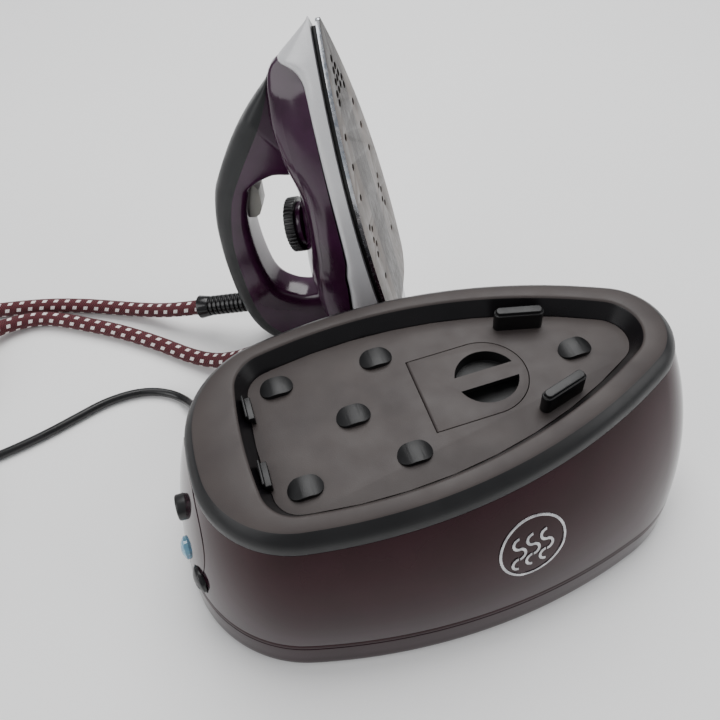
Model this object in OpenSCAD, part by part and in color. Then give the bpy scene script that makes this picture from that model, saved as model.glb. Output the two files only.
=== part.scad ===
// Steam generator iron: base station, hand iron standing on its heel behind it,
// braided steam hose and mains lead. Millimetres, +X along the base to its nose, +Z up.

/* [Base] */
// Height of the rest plane at the middle of the base
deck_h = 141; // [136:1:150]
// Tilt of the rest plane, rising to the nose, degrees
deck_tilt = 4.4; // [2:0.1:6]
// Wall thickness of the side shell
shell_wall = 2.6; // [2:0.1:4]
// Outward swell of the side shell half way down, less at the heel
shell_bulge = 6.5; // [3:0.5:8]
// Height of the joint between side shell and bottom pan
pan_joint_z = 30.5; // [28:0.5:34]
// Depth of the rest well below the rim
well_depth = 13; // [11:0.5:15]
// Thickness of the well floor
floor_t = 4; // [3.5:0.5:5]

/* [Filler lid] */
// Half width of the D shaped lid
lid_half_w = 30; // [26:0.5:31]
// Distance of the round end's centre from the middle of the base
lid_round_u = 34; // [30:1:36]
// Radius of the finger recess
recess_r = 21.4; // [18:0.2:23]
// Depth of the finger recess
recess_d = 10; // [6:0.5:12]
// Hinge pin diameter
lid_pin_d = 2; // [1.6:0.1:2.2]

/* [Heel controls] */
// Radius of the round control panel
panel_r = 47.3; // [44:0.1:49]
// Power button radius
power_r = 9; // [7:0.5:10]
// Travel of the power button
power_travel = 2; // [1:0.5:3]
// Rinse cap radius
cap_r = 9.5; // [8:0.5:10]

/* [Iron] */
// Height of the nose tip above the table when the iron stands on its heel
iron_h = 303; // [298:1:306]
// Lean of the standing iron to its handle side, degrees
iron_lean = 14; // [13:0.5:15]
// Yaw of the standing iron about the vertical, degrees
iron_yaw = -23; // [-25:0.5:-21]
// Largest half width of the soleplate
sole_w = 52.7; // [50:0.1:54]
// Length of the soleplate
sole_len = 252; // [246:1:254]
// Thickness of the soleplate
sole_t = 2.8; // [2.5:0.1:3.6]
// Radius of the temperature dial's ribbed ring
dial_r = 22; // [20:0.2:22.4]
// Half width of the handle
handle_hw = 16; // [15:0.5:17]

/* [Leads] */
// Diameter of the braided steam hose
hose_d = 14; // [13:0.5:14]
// Mean radius of the coiled part of the hose
hose_coil_r = 80; // [78:1:82]
// Diameter of the mains lead
lead_d = 7.5; // [7:0.1:7.6]
// Mean radius of the coiled part of the mains lead
lead_coil_r = 42; // [41:0.5:43]

/* [Hidden] */
$fn = 48;
e = 0.02;
// the row frame's origin is the middle of the standing outfit's footprint
shift_x = 6.52;
shift_y = 59.21;

// Outlines: each is a closed curve of tangent arcs, given as
// [corner r, corner x, corner y, nose r, nose x, side r, heel r]
rim_o  = [64.5, -97.0, 11.3, 39.0, 123.4, 372, 171];
low_o  = [87.6, -96.3, 18.4, 102.3, 96.7, 453, 171];
well_o = [25.0, -102.5, 38.6, 27.2, 118.3, 348, 319];
rim_drop = 2.6;      // rim edge below the rest plane
seam_drop = 14.9;    // joint of deck and side shell below the rest plane
seam_out = 6.6;      // and outside the rim edge
floor_in = 6.5;      // well floor inside the well's top edge
floor_w = -well_depth;

// centre of the side arc, tangent inside to the corner arc and the nose arc
function side_c(o) = let(d = norm([o[4] - o[1], o[2]]), a = o[5] - o[0], b = o[5] - o[3],
  l = (a * a - b * b + d * d) / (2 * d), h = sqrt(a * a - l * l),
  ex = (o[4] - o[1]) / d, ey = -o[2] / d) [o[1] + l * ex + h * ey, o[2] + l * ey - h * ex];
function heel_x(o) = o[1] + sqrt(pow(o[6] - o[0], 2) - o[2] * o[2]);
// point whose outward normal has the angle th, on the outline grown by g
function arc_pt(o, th, g) = let(s = side_c(o), hx = heel_x(o), u = [cos(th), sin(th)],
  tn = atan2(-s[1], o[4] - s[0]), ts = atan2(o[2] - s[1], o[1] - s[0]), tc = atan2(o[2], o[1] - hx))
  th < tn ? [o[4], 0] + (o[3] + g) * u : th < ts ? s + (o[5] + g) * u :
  th < tc ? [o[1], o[2]] + (o[0] + g) * u : [hx, 0] + (o[6] + g) * u;
function out_pt(o, th, g = 0) = th <= 180 ? arc_pt(o, th, g)
  : let(p = arc_pt(o, 360 - th, g)) [p[0], -p[1]];
function out_pts(o, g = 0, n = 72) = [for (i = [0:n - 1]) out_pt(o, i * 360 / n, g)];
// from the tilted deck frame (u, v, w) to the base frame
function on_deck(u, v, w) = [u * cos(deck_tilt) - w * sin(deck_tilt), v,
  deck_h + u * sin(deck_tilt) + w * cos(deck_tilt)];
function deck_ring(o, g, w, n = 72) = [for (p = out_pts(o, g, n)) on_deck(p[0], p[1], w)];
function flat_ring(o, g, z, n = 72) = [for (p = out_pts(o, g, n)) [p[0], p[1], z]];
// ring of the side shell: t = 0 at the deck joint, 1 at the pan joint, g outward
function shell_ring(t, g, n = 72) = [for (i = [0:n - 1]) let(th = i * 360 / n,
  a = out_pt(rim_o, th, seam_out), b = out_pt(low_o, th),
  k = shell_bulge * 4 * t * (1 - t) * (1 - 0.65 * pow(max(0, -cos(th)), 2)) + g)
  on_deck(a[0], a[1], -seam_drop) * (1 - t) + [b[0], b[1], pan_joint_z] * t
  + [cos(th), sin(th), 0] * k];
// closed band through a list of rings, the last joined to the first
module band(rings) {
  n = len(rings[0]); m = len(rings);
  polyhedron([for (r = rings) each r],
    [for (j = [0:m - 1], i = [0:n - 1]) let(a = j * n + i, b = j * n + (i + 1) % n,
      c = ((j + 1) % m) * n + (i + 1) % n, d = ((j + 1) % m) * n + i)
      each [[a, b, c], [a, c, d]]]);
}
// stack of rings closed by a flat cap at each end
module loft(rings) {
  n = len(rings[0]); m = len(rings);
  polyhedron([for (r = rings) each r], concat(
    [for (j = [0:m - 2], i = [0:n - 1]) let(a = j * n + i, b = j * n + (i + 1) % n)
      each [[a, b, b + n], [a, b + n, a + n]]],
    [[for (i = [n - 1:-1:0]) i], [for (i = [0:n - 1]) (m - 1) * n + i]]));
}
module base_at() translate([-shift_x, -shift_y, 0]) children();
module deck_at() base_at() translate([0, 0, deck_h]) rotate([0, -deck_tilt, 0]) children();
// iron frame: nose tip at the origin, -X to the heel, +Z from the sole to the handle
iron_x = -22; iron_y = 179;
module iron_at() base_at() translate([iron_x, iron_y, iron_h])
  rotate([0, 0, iron_yaw]) rotate([0, -(90 + iron_lean), 0]) children();
module rrect(x, y, r) { // rounded rectangle of true arcs
  square([x - 2 * r, y], center = true); square([x, y - 2 * r], center = true);
  for (i = [-1, 1], j = [-1, 1]) translate([i * (x / 2 - r), j * (y / 2 - r)]) circle(r);
}
module rod(a, b, r) { // straight round rod from a to b
  d = b - a;
  translate(a) rotate([0, acos(d[2] / norm(d)), atan2(d[1], d[0])]) cylinder(r = r, h = norm(d));
}

// ---- base station ----
screw_th = [20, 98, 262, 340];
module bottom_pan() color([0.17, 0.10, 0.13]) base_at() {
  difference() {
    band([flat_ring(low_o, -0.7, pan_joint_z - 0.5), flat_ring(low_o, 0.3, pan_joint_z - 1.6),
      flat_ring(low_o, 1.2, 22), flat_ring(low_o, 2.3, 9), flat_ring(low_o, 2.8, 5),
      flat_ring(low_o, 2, 2.6), flat_ring(low_o, -1, 2), flat_ring(low_o, -4, 2),
      flat_ring(low_o, -4, 5), flat_ring(low_o, -1.5, 8), flat_ring(low_o, -3, pan_joint_z - 0.5)]);
    let(p = out_pt(low_o, 122)) translate([p[0], p[1], 18]) rotate([-90, 0, 32])
      translate([0, 0, -8]) cylinder(r = 8.05, h = 20);
  }
  difference() {
    union() {
      translate([0, 0, 2]) linear_extrude(3) polygon(out_pts(low_o, -3.5));
      for (t = screw_th) let(p = out_pt(low_o, t, -14)) translate([p[0], p[1], 3]) cylinder(r = 6, h = 26);
    }
    for (t = screw_th) let(p = out_pt(low_o, t, -14)) translate([p[0], p[1], 0]) {
      cylinder(r = 4, h = 10); cylinder(r = 1.8, h = 40);
    }
  }
}
module side_shell() color([0.20, 0.09, 0.15]) base_at() {
  difference() {
    band(concat([for (t = [0:0.125:1]) shell_ring(t, 0)],
      [for (t = [1:-0.25:0]) shell_ring(t, -shell_wall)]));
    translate([-230, 0, 68]) rotate([0, 90, 0]) cylinder(r = panel_r + 0.3, h = 80, $fn = 96);
    let(p = out_pt(low_o, 101)) translate([p[0], p[1], 44]) rotate([-90, 0, 11])
      translate([0, 0, -20]) cylinder(r = 9.2, h = 60);
    translate([-177.3, -43, 45.5]) rotate([0, 90, 12]) translate([0, 0, -30]) {
      cylinder(r = 7.2, h = 60); cylinder(r = cap_r + 0.9, h = 30.8);
    }
  }
  for (t = screw_th) let(p = out_pt(low_o, t, -14)) translate([p[0], p[1], 30]) difference() {
    union() { cylinder(r = 5, h = 26); rotate([0, 0, t]) translate([0, -1.5, 0]) cube([15.5, 3, 16]); }
    translate([0, 0, -1]) cylinder(r = 1.6, h = 22);
  }
}
module top_deck() color([0.29, 0.27, 0.26]) {
  base_at() band([deck_ring(rim_o, seam_out - 3, 0.25 - seam_drop), deck_ring(rim_o, 3.4, -9),
    deck_ring(rim_o, -3, -6), deck_ring(well_o, 2.5, -5), deck_ring(well_o, -4.5, floor_w - floor_t),
    deck_ring(well_o, -floor_in, floor_w - floor_t), deck_ring(well_o, -floor_in, floor_w),
    deck_ring(well_o, 0, -1.4), deck_ring(well_o, 0.8, -0.4), deck_ring(well_o, 2.4, 0),
    deck_ring(rim_o, -2.4, -0.9), deck_ring(rim_o, 0, -rim_drop), deck_ring(rim_o, 3, -5),
    deck_ring(rim_o, seam_out - 0.6, -9), deck_ring(rim_o, seam_out, 0.25 - seam_drop)]);
}
// floor of the well, with the filler lid's opening
module rest_plate() color([0.29, 0.27, 0.26]) deck_at() difference() {
  translate([0, 0, floor_w - floor_t]) linear_extrude(floor_t) polygon(out_pts(well_o, -floor_in - 0.05));
  translate([0, 0, floor_w - floor_t - 1]) linear_extrude(floor_t + 2) {
    translate([-10.9, -lid_half_w - 0.5]) square([lid_round_u + 10.9, 2 * lid_half_w + 1]);
    translate([lid_round_u, 0]) circle(lid_half_w + 0.5, $fn = 96);
  }
  translate([-8.6, 0, floor_w - 2]) rotate([90, 0, 0]) cylinder(d = lid_pin_d + 0.04, h = 74, center = true);
}
pad_uv = [[-100.5, 40.5], [-100.5, -40.5], [-29.2, 40.3], [-29.2, -40.3], [-57.5, 0], [100.7, 0]];
module rest_pads() color([0.06, 0.06, 0.07]) deck_at() for (p = pad_uv)
  translate([p[0], p[1], floor_w]) intersection() {
    translate([0, 0, -18.2]) rotate([90, 0, 0]) cylinder(r = 22, h = 16, center = true, $fn = 96);
    linear_extrude(6) { square([9, 15], center = true); for (i = [-1, 1]) translate([i * 4, 0]) circle(7.5); }
  }
module rest_guides() color([0.06, 0.06, 0.07]) deck_at() for (s = [-1, 1])
  translate([74, s * 33.5, floor_w]) rotate([0, 0, -s * 16]) {
    linear_extrude(14.5) rrect(34, 8, 3.6);
    linear_extrude(17) rrect(31, 6, 2.6);
  }
module heel_hooks() color([0.05, 0.05, 0.06]) deck_at() for (s = [-1, 1])
  translate([-124, s * 26, 0]) {
    translate([-0.8, -9, floor_w + 4]) cube([5.5, 18, 3.2]);
    translate([-0.8, -9, floor_w + 4]) cube([1.6, 18, 7.4]);
    translate([3.1, -9, floor_w + 0.02]) cube([1.6, 18, 6]);
  }
module lid_2d(g) {
  difference() {
    union() {
      translate([-8.6, -lid_half_w + g]) square([lid_round_u + 8.6, 2 * (lid_half_w - g)]);
      translate([lid_round_u, 0]) circle(lid_half_w - g, $fn = 96);
    }
  }
}
module filler_lid() color([0.29, 0.27, 0.26]) deck_at() difference() {
  union() {
    translate([0, 0, floor_w - 2.5]) linear_extrude(2.5) lid_2d(0);
    translate([-8.6, 0, floor_w - 2]) rotate([90, 0, 0]) cylinder(r = 2, h = 2 * lid_half_w, center = true);
    translate([36.5, 0, floor_w - recess_d - 2]) cylinder(r = recess_r + 2, h = recess_d + 1);
  }
  translate([-8.6, 0, floor_w - 2]) rotate([90, 0, 0]) cylinder(d = lid_pin_d + 0.1, h = 80, center = true);
  difference() {
    translate([36.5, 0, floor_w - recess_d]) cylinder(r = recess_r, h = recess_d + 5);
    translate([10, -6, floor_w - 4]) cube([60, 12, 4]);
  }
}
module lid_pin() color([0.7, 0.7, 0.72]) deck_at() translate([-8.6, 0, floor_w - 2])
  rotate([90, 0, 0]) cylinder(d = lid_pin_d, h = 72, center = true);
module lid_seal() color([0.35, 0.36, 0.38]) deck_at() translate([36.5, 0, floor_w - recess_d - 2])
  difference() { translate([0, 0, 3]) cylinder(r = recess_r + 4, h = 4); cylinder(r = recess_r + 2.05, h = 20); }
module filler_cup() color([0.22, 0.21, 0.21]) deck_at() {
  difference() {
    translate([0, 0, floor_w - floor_t - 16]) linear_extrude(16) {
      translate([-4, -33]) square([38, 66]); translate([lid_round_u, 0]) circle(33, $fn = 96);
    }
    translate([0, 0, floor_w - floor_t - 14]) linear_extrude(20) {
      translate([-2, -31]) square([36, 62]); translate([lid_round_u, 0]) circle(31, $fn = 96);
    }
    translate([36.5, 0, floor_w - floor_t - 20]) cylinder(r = 11, h = 20);
  }
  translate([36.5, 0, floor_w - floor_t - 24]) difference() {
    cylinder(r = 13, h = 8 + e); translate([0, 0, -1]) cylinder(r = 11, h = 12);
  }
}
module water_tank() color([0.75, 0.82, 0.86, 0.6]) base_at() difference() {
  translate([60, 0, 36]) linear_extrude(68) rrect(124, 122, 14);
  translate([60, 0, 38.2]) linear_extrude(63.6) rrect(119.6, 117.6, 12);
  deck_at2() translate([36.5, 0, -70]) cylinder(r = 13.1, h = 60);
  translate([10, -61.5, 42]) rotate([90, 0, 0]) cylinder(r = 3.1, h = 12, center = true);
}
module deck_at2() translate([0, 0, deck_h]) rotate([0, -deck_tilt, 0]) children();
module feed_pump() color([0.75, 0.75, 0.72]) base_at() translate([10, -84, 28]) {
  rotate([0, -90, 0]) cylinder(r = 14, h = 34);
  translate([-22, 0, 0]) cube([20, 36, 22], center = true);
  rotate([0, 90, 0]) cylinder(r = 7, h = 14);
  rotate([0, -90, 0]) cylinder(r = 5, h = 48);
  translate([-30, -10, -23]) cube([24, 20, 10]);
}
module feed_tubes() color([0.8, 0.8, 0.78]) base_at() {
  rod([10, -57, 42], [10, -70, 42], 3); translate([10, -70, 42]) sphere(3.3);
  rod([10, -70, 42], [34, -70, 42], 3); translate([34, -70, 42]) sphere(3.3);
  rod([34, -70, 42], [34, -84, 28], 3); translate([34, -84, 28]) sphere(3.3);
  rod([34, -84, 28], [24, -84, 28], 3);
  rod([-38, -84, 28], [-60, -84, 28], 3); translate([-60, -84, 28]) sphere(3.3);
  rod([-60, -84, 28], [-70, -76, 50], 3); translate([-70, -76, 50]) sphere(3.3);
  rod([-70, -76, 50], [-70, -53, 50], 3);
}
module boiler() color([0.72, 0.72, 0.74]) base_at() translate([-88, 0, 62]) rotate([90, 0, 0]) {
  difference() {
    union() {
      cylinder(r = 38, h = 104, center = true, $fn = 96);
      cylinder(r = 43, h = 5, center = true, $fn = 96);
      translate([0, 0, 52]) cylinder(r = 30, h = 4, $fn = 96);
      translate([0, 0, -56]) cylinder(r = 30, h = 4, $fn = 96);
    }
    cylinder(r = 36, h = 100, center = true, $fn = 96);
    translate([0, 0, 40]) cylinder(r = 14, h = 30);
    translate([18, -12, 40]) cylinder(r = 3.05, h = 30);
  }
}
module boiler_element() color([0.55, 0.40, 0.30]) base_at() translate([-88, 0, 62]) rotate([90, 0, 0]) {
  translate([0, 0, 50.2]) cylinder(r = 13.9, h = 9);
  for (s = [-1, 1]) translate([s * 8, 0, -30]) cylinder(r = 3.2, h = 81);
  translate([0, 0, -30]) rotate([90, 0, 0]) rotate([0, 0, 180]) rotate_extrude(angle = 180) translate([8, 0]) circle(3.2);
  for (s = [-1, 1]) translate([s * 6, 0, 59]) cylinder(r = 1.6, h = 7);
}
module boiler_saddles() color([0.55, 0.56, 0.58]) base_at() for (s = [-1, 1])
  translate([-88, s * 34, 5]) difference() {
    translate([-26, -6, 0]) cube([52, 12, 34]);
    translate([0, 0, 57]) rotate([90, 0, 0]) cylinder(r = 38.05, h = 30, center = true, $fn = 96);
    translate([0, 0, 8]) rotate([90, 0, 0]) cylinder(r = 6, h = 30, center = true);
  }
module steam_valve() color([0.80, 0.66, 0.30]) base_at() translate([-88, 56, 62]) {
  translate([-12, 6, -14]) cube([24, 22, 36]);
  rotate([-90, 0, 0]) cylinder(r = 7, h = 10);
  translate([0, 17, 22]) cylinder(r = 9, h = 20);
}
module steam_pipe() color([0.80, 0.78, 0.74]) base_at() {
  rod([-88, 73, 48], [-88, 73, 44], 4); translate([-88, 73, 44]) sphere(4.3);
  rod([-88, 73, 44], [-88.35, 92, 44], 4); translate([-88.35, 92, 44]) sphere(4.3);
  rod([-88.35, 92, 44], [-90.13, 101.2, 44], 4);
}
module thermal_cutout() color([0.85, 0.83, 0.78]) base_at() translate([-88, 20, 100.03]) {
  translate([0, 0, 1.4]) cylinder(r = 9, h = 5);
  translate([0, 0, 6.4]) cylinder(r = 5, h = 4);
  translate([-13, -5, 0]) cube([26, 10, 1.4]);
}
module control_board() color([0.12, 0.35, 0.20]) base_at() {
  translate([-160, -44, 40]) cube([1.6, 88, 52]);
  translate([-158.4, -30, 48]) cube([12, 16, 14]);
  translate([-158.4, 8, 50]) cube([10, 20, 12]);
  translate([-158.4, -8, 72]) cube([8, 10, 10]);
  translate([-164.2, -17, 86]) cube([4.3, 10, 6]);
}
pow_yz = [-4, 77]; lamp_yz = [-16, 42];
module control_panel() color([0.21, 0.10, 0.16]) base_at() difference() {
  intersection() {
    band(concat([for (t = [0:0.125:1]) shell_ring(t, 0.4)], [for (t = [1:-0.125:0]) shell_ring(t, -2.2)]));
    translate([-230, 0, 68]) rotate([0, 90, 0]) cylinder(r = panel_r, h = 80, $fn = 96);
  }
  translate([-230, pow_yz[0], pow_yz[1]]) rotate([0, 90, 0]) cylinder(r = power_r + 0.3, h = 80);
  translate([-230, lamp_yz[0], lamp_yz[1]]) rotate([0, 90, 0]) cylinder(r = 8.55, h = 80);
  translate([-177.3, -43, 45.5]) rotate([0, 90, 12]) translate([0, 0, -30]) cylinder(r = cap_r + 0.9, h = 60);
}
module power_button() color([0.10, 0.09, 0.11]) base_at() translate([-182.5, pow_yz[0], pow_yz[1]]) rotate([0, 90, 0]) {
  cylinder(r = power_r - 0.6, h = 1); translate([0, 0, 1]) cylinder(r = power_r, h = 9);
  translate([0, 0, 10]) cylinder(r = 3, h = 6);
}
module lamp_lens() color([0.35, 0.55, 0.80, 0.8]) base_at() translate([-188.8, lamp_yz[0], lamp_yz[1]]) rotate([0, 90, 0]) {
    intersection() { translate([0, 0, 12]) sphere(12, $fn = 64); cylinder(r = 8.4, h = 4); }
    translate([0, 0, 3.9]) cylinder(r = 8.4, h = 9);
  }
module rinse_cap() color([0.09, 0.08, 0.09]) base_at() translate([-177.3, -43, 45.5]) rotate([0, 90, 12]) {
  difference() {
    union() {
      intersection() { translate([0, 0, 10]) sphere(15.5, $fn = 64); translate([0, 0, -5.5]) cylinder(r = cap_r, h = 5.4); }
      translate([0, 0, -0.3]) cylinder(r = 6.9, h = 14);
    }
    translate([-1.2, -12, -8]) cube([2.4, 24, 4]);
  }
}
// ring with three rising wisps, set on the near flank and following its curve
module badge_ring() color([0.78, 0.78, 0.80]) base_at() intersection() {
  band(concat([for (t = [0:0.125:1]) shell_ring(t, 0.95)], [for (t = [1:-0.125:0]) shell_ring(t, 0.05)]));
  translate([30, -98, 84]) rotate([68, 0, 2]) translate([0, 0, -8]) linear_extrude(30) {
    difference() { circle(24.5, $fn = 72); circle(22.7, $fn = 72); }
    for (i = [-1, 0, 1]) translate([i * 10, 0]) {
      translate([0, 6]) difference() { circle(5.2, $fn = 24); circle(3.2, $fn = 24); translate([0, -7]) square([7, 14]); }
      translate([0, -2.4]) difference() { circle(5.2, $fn = 24); circle(3.2, $fn = 24); translate([-7, -7]) square([7, 14]); }
      translate([-1, -10.6]) difference() { circle(5.2, $fn = 24); circle(3.2, $fn = 24); translate([0, -7]) square([7, 14]); }
    }
  }
}
foot_xy = [[-130, 62], [-130, -62], [120, 58], [120, -58]];
module rubber_feet() color([0.05, 0.05, 0.05]) base_at() for (p = foot_xy) translate([p[0], p[1], 0]) {
  cylinder(r = 11, h = 2);
}
module base_screws() color([0.75, 0.75, 0.77]) base_at() for (t = screw_th) let(p = out_pt(low_o, t, -14))
  translate([p[0], p[1], 6.6]) {
    difference() { cylinder(r = 3.6, h = 3.4); translate([0, 0, -e]) for (a = [0, 90]) rotate([0, 0, a]) translate([-2, -0.5, 0]) cube([4, 1, 1.6]); }
    cylinder(r = 1.55, h = 40);
  }
module hose_gland() color([0.07, 0.07, 0.08]) base_at()
  let(p = out_pt(low_o, 101)) translate([p[0], p[1], 44]) rotate([-90, 0, 11]) difference() {
    union() {
      translate([0, 0, -12]) cylinder(r = 9, h = 14);
      translate([0, 0, 1]) cylinder(r = 12.5, h = 4);
      for (i = [0:5]) translate([0, 0, 5 + i * 5]) { cylinder(r = 10.5 - i * 0.3, h = 3); translate([0, 0, 2.9]) cylinder(r = 9.2 - i * 0.3, h = 2.2); }
    }
    translate([0, 0, -13]) cylinder(r = 4.1, h = 10);
  }
module mains_gland() color([0.06, 0.06, 0.06]) base_at()
  let(p = out_pt(low_o, 122)) translate([p[0], p[1], 18]) rotate([-90, 0, 32]) {
    translate([0, 0, -2]) cylinder(r = 8, h = 6);
    for (i = [0:4]) translate([0, 0, 4 + i * 5]) { cylinder(r = 7 - i * 0.45, h = 3.2); translate([0, 0, 3.1]) cylinder(r = 5.6 - i * 0.25, h = 2); }
  }

// ---- hand iron ----
arc_r = 337; arc_s = 181;
module sole_2d(g) intersection() {
  translate([-arc_s, sole_w - arc_r]) circle(arc_r - g, $fn = 180);
  translate([-arc_s, arc_r - sole_w]) circle(arc_r - g, $fn = 180);
  union() {
    translate([-(sole_len - 26), -60]) square([sole_len - 30.3 - g, 120]);
    translate([-6 - g, 0]) circle(3.3);
    translate([-sole_len + g, -23.7]) square([30, 47.4]);
    for (s = [-1, 1]) translate([-(sole_len - 26), s * 23.7]) circle(26 - g);
  }
}
// plan of the housing: the same nose, carried on to the heel rest
module house_2d(g) intersection() {
  translate([-arc_s, sole_w - arc_r]) circle(arc_r - g, $fn = 180);
  translate([-arc_s, arc_r - sole_w]) circle(arc_r - g, $fn = 180);
  union() {
    translate([-280, -60]) square([290, 120]);
    translate([-309 + g, -14]) square([40, 28]);
    for (s = [-1, 1]) translate([-280, s * 12]) circle(29 - g);
    translate([-285, -38]) square([20, 76]);
  }
}
// everything on the handle side of the plane the iron stands on
module above_table() intersection() {
  children();
  rotate([0, 90 + iron_lean, 0]) rotate([0, 0, -iron_yaw]) translate([-300, -300, -iron_h]) cube([600, 600, 700]);
}
hole_sy = [[30, 0], [36.5, 3.2], [36.5, -3.2], [43, 6.2], [43, -6.2], [49, 11.3], [49, -11.3], [43.5, 0],
  [50, 3.5], [50, -3.5], [55, 12], [55, -12], [74.5, 23], [74.5, -23], [96, 27], [96, -27],
  [119, 31.5], [119, -31.5], [146, 32.5], [146, -32.5], [152, 27], [152, -27], [159, 31.5], [159, -31.5],
  [166, 27.5], [166, -27.5], [173, 32], [173, -32], [198, 29.8], [198, -29.8]];
module soleplate() color([0.42, 0.40, 0.38]) iron_at() difference() {
  linear_extrude(sole_t) sole_2d(0);
  for (h = hole_sy) translate([-h[0], h[1], -1]) cylinder(r = 2.6, h = 6, $fn = 24);
}
module u_rod(r, g) { // U shaped rod of the sole heater
  for (s = [-1, 1]) rod([-205, s * 24, 12.8], [-90, s * 24, 12.8], r + g);
  translate([-90, 0, 12.8]) rotate([0, 0, -90]) rotate_extrude(angle = 180) translate([24, 0]) circle(r + g);
}
module sole_heater() color([0.62, 0.63, 0.65]) iron_at() difference() {
  union() {
    translate([0, 0, sole_t]) linear_extrude(9) sole_2d(10);
    translate([-150, 0, 11]) linear_extrude(6) rrect(150, 68, 20);
  }
  translate([-40.5, -60, 0]) cube([60, 120, 40]);
  translate([-150, 0, 7]) linear_extrude(20) rrect(110, 34, 12);
  u_rod(3.5, 0.1);
  for (s = [-1, 1]) rod([-228, s * 24, 12.8], [-204, s * 24, 12.8], 2.1);
  for (x = [-84, -216]) translate([x, 0, 9.5]) cylinder(r = 1.55, h = 20);
}
module heating_element() color([0.40, 0.33, 0.30]) iron_at() {
  u_rod(3.5, 0);
  for (s = [-1, 1]) rod([-226, s * 24, 12.8], [-205 + e, s * 24, 12.8], 2);
}
module chamber_cover() color([0.70, 0.70, 0.71]) iron_at() translate([-150, 0, 17]) difference() {
  union() { linear_extrude(1.6) rrect(142, 52, 14); translate([-30, 0, 1.5]) cylinder(r = 6, h = 5); }
  translate([-30, 0, -1]) cylinder(r = 3.05, h = 12);
  for (x = [-66, 66]) translate([x, 0, -1]) cylinder(r = 1.6, h = 4);
}
module heat_shield() color([0.04, 0.04, 0.04]) iron_at() difference() {
  translate([0, 0, sole_t]) linear_extrude(4) sole_2d(3.5);
  translate([0, 0, sole_t - 1]) linear_extrude(8) sole_2d(8.5);
}
// side profiles as [distance from the nose, height above the sole]
skirt_prof = [[0, 6.9], [2, 8.5], [21, 35], [27, 27], [33, 21.5], [40, 19], [55, 19.2], [90, 19.8], [130, 20.8],
  [165, 23], [176, 27.5], [190, 28], [215, 33], [250, 40], [320, 46], [320, 6.9]];
function sx(p) = [for (q = p) [-q[0], q[1]]];
module side_cut(p, w) rotate([90, 0, 0]) translate([0, 0, -w]) linear_extrude(2 * w) polygon(sx(p));
module silver_skirt() color([0.80, 0.80, 0.81]) iron_at() above_table() difference() {
  intersection() {
    union() {
      translate([0, 0, 6.9]) linear_extrude(4) house_2d(0);
      translate([0, 0, 10.8]) linear_extrude(30) house_2d(1.2);
    }
    side_cut(skirt_prof, 60);
  }
  translate([0, 0, 5]) linear_extrude(60) intersection() {
    house_2d(4.2); translate([-400, -60]) square([362, 120]);
  }
}
body_prof = [[21.3, 35.2], [29.5, 44.5], [60, 52], [88, 51], [112, 50], [130, 54], [160, 60.5], [190, 67],
  [222, 70], [262, 64], [300, 48], [312, 40], [312, 46], [320, 46.2], [250, 40.2], [215, 33.2], [190, 28.2],
  [176, 27.7], [165, 23.2], [130, 21], [90, 20], [55, 19.4], [40, 19.2], [33, 21.7], [27, 27.2]];
body_in = [[44, 24], [60, 46], [88, 46], [110, 45.5], [130, 49], [160, 55.5], [190, 62], [222, 65], [258, 58], [288, 44],
  [250, 38], [215, 34], [190, 31], [165, 26], [130, 24], [90, 23], [60, 22.4]];
module body_shell() color([0.24, 0.12, 0.20]) iron_at() above_table() difference() {
  intersection() {
    union() {
      translate([0, 0, 19]) linear_extrude(14) house_2d(3);
      translate([0, 0, 32]) linear_extrude(14) house_2d(6);
      translate([0, 0, 45]) linear_extrude(26) house_2d(13);
    }
    side_cut(body_prof, 60);
  }
  intersection() {
    union() {
      translate([0, 0, 10]) linear_extrude(20) house_2d(6);
      translate([0, 0, 29]) linear_extrude(13) house_2d(9);
      translate([0, 0, 41]) linear_extrude(40) house_2d(16.5);
    }
    union() { side_cut(body_in, 60); translate([-250, -60, 10]) cube([190, 120, 22]); }
  }
  translate([-158, 0, 30]) cylinder(r = 5.1, h = 60);
  translate([-158, 0, 58]) cylinder(r = 18.6, h = 20);
  translate([-158, 0, 62.2]) cylinder(r = 23, h = 20);
}
// handle loop: outer line under the cover, and the finger opening
loop_out = [[33, 45.4], [43, 49.6], [62, 61.6], [76, 73], [91.6, 85.7], [110, 99.5], [121, 106], [139, 113.6],
  [158, 119.8], [181, 124], [207, 127], [228, 128], [246, 126.5], [258, 121.5], [268, 113], [273, 100], [296, 52],
  [262, 64.2], [222, 70.2], [190, 67.2], [160, 60.7], [130, 54.2], [112, 50.2], [88, 51.2], [60, 52.2]];
loop_in = [[101, 50], [98, 58], [98.5, 66], [101, 74], [106, 82], [114, 88.5], [126, 95], [145, 100.5], [165, 104],
  [190, 106], [206, 105], [216, 100], [223, 91], [226, 80], [225, 66], [223, 60], [190, 56], [130, 40], [104, 40]];
module finger_gap() rotate([90, 0, 0]) translate([0, 0, -40]) linear_extrude(80) polygon(sx(loop_in));
module handle_frame() color([0.24, 0.12, 0.20]) iron_at() difference() {
  intersection() {
    side_cut(loop_out, handle_hw);
    translate([0, 0, 30]) linear_extrude(100) house_2d(13);
  }
  finger_gap();
  // room for the trigger, its switch and the hose's end
  translate([-143.5, -7.2, 78]) cube([35, 14.4, 32]);
  translate([-168, -5.6, 107.5]) cube([38, 11.2, 9]);
  translate([trig_p[0], 0, trig_p[1]]) rotate([90, 0, 0]) cylinder(r = 1.52, h = 22.4, center = true);
  translate([-237, 0, 90]) cylinder(r = 7.6, h = 60);
}
cover_out = [[30, 45.2], [44, 60], [65, 83], [87, 102], [108, 117], [119, 122.5], [135, 128], [156, 133.5], [179, 138],
  [203, 141.3], [227, 142.5], [245, 142], [258, 139], [270, 133.5], [279, 125], [284, 108]];
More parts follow.
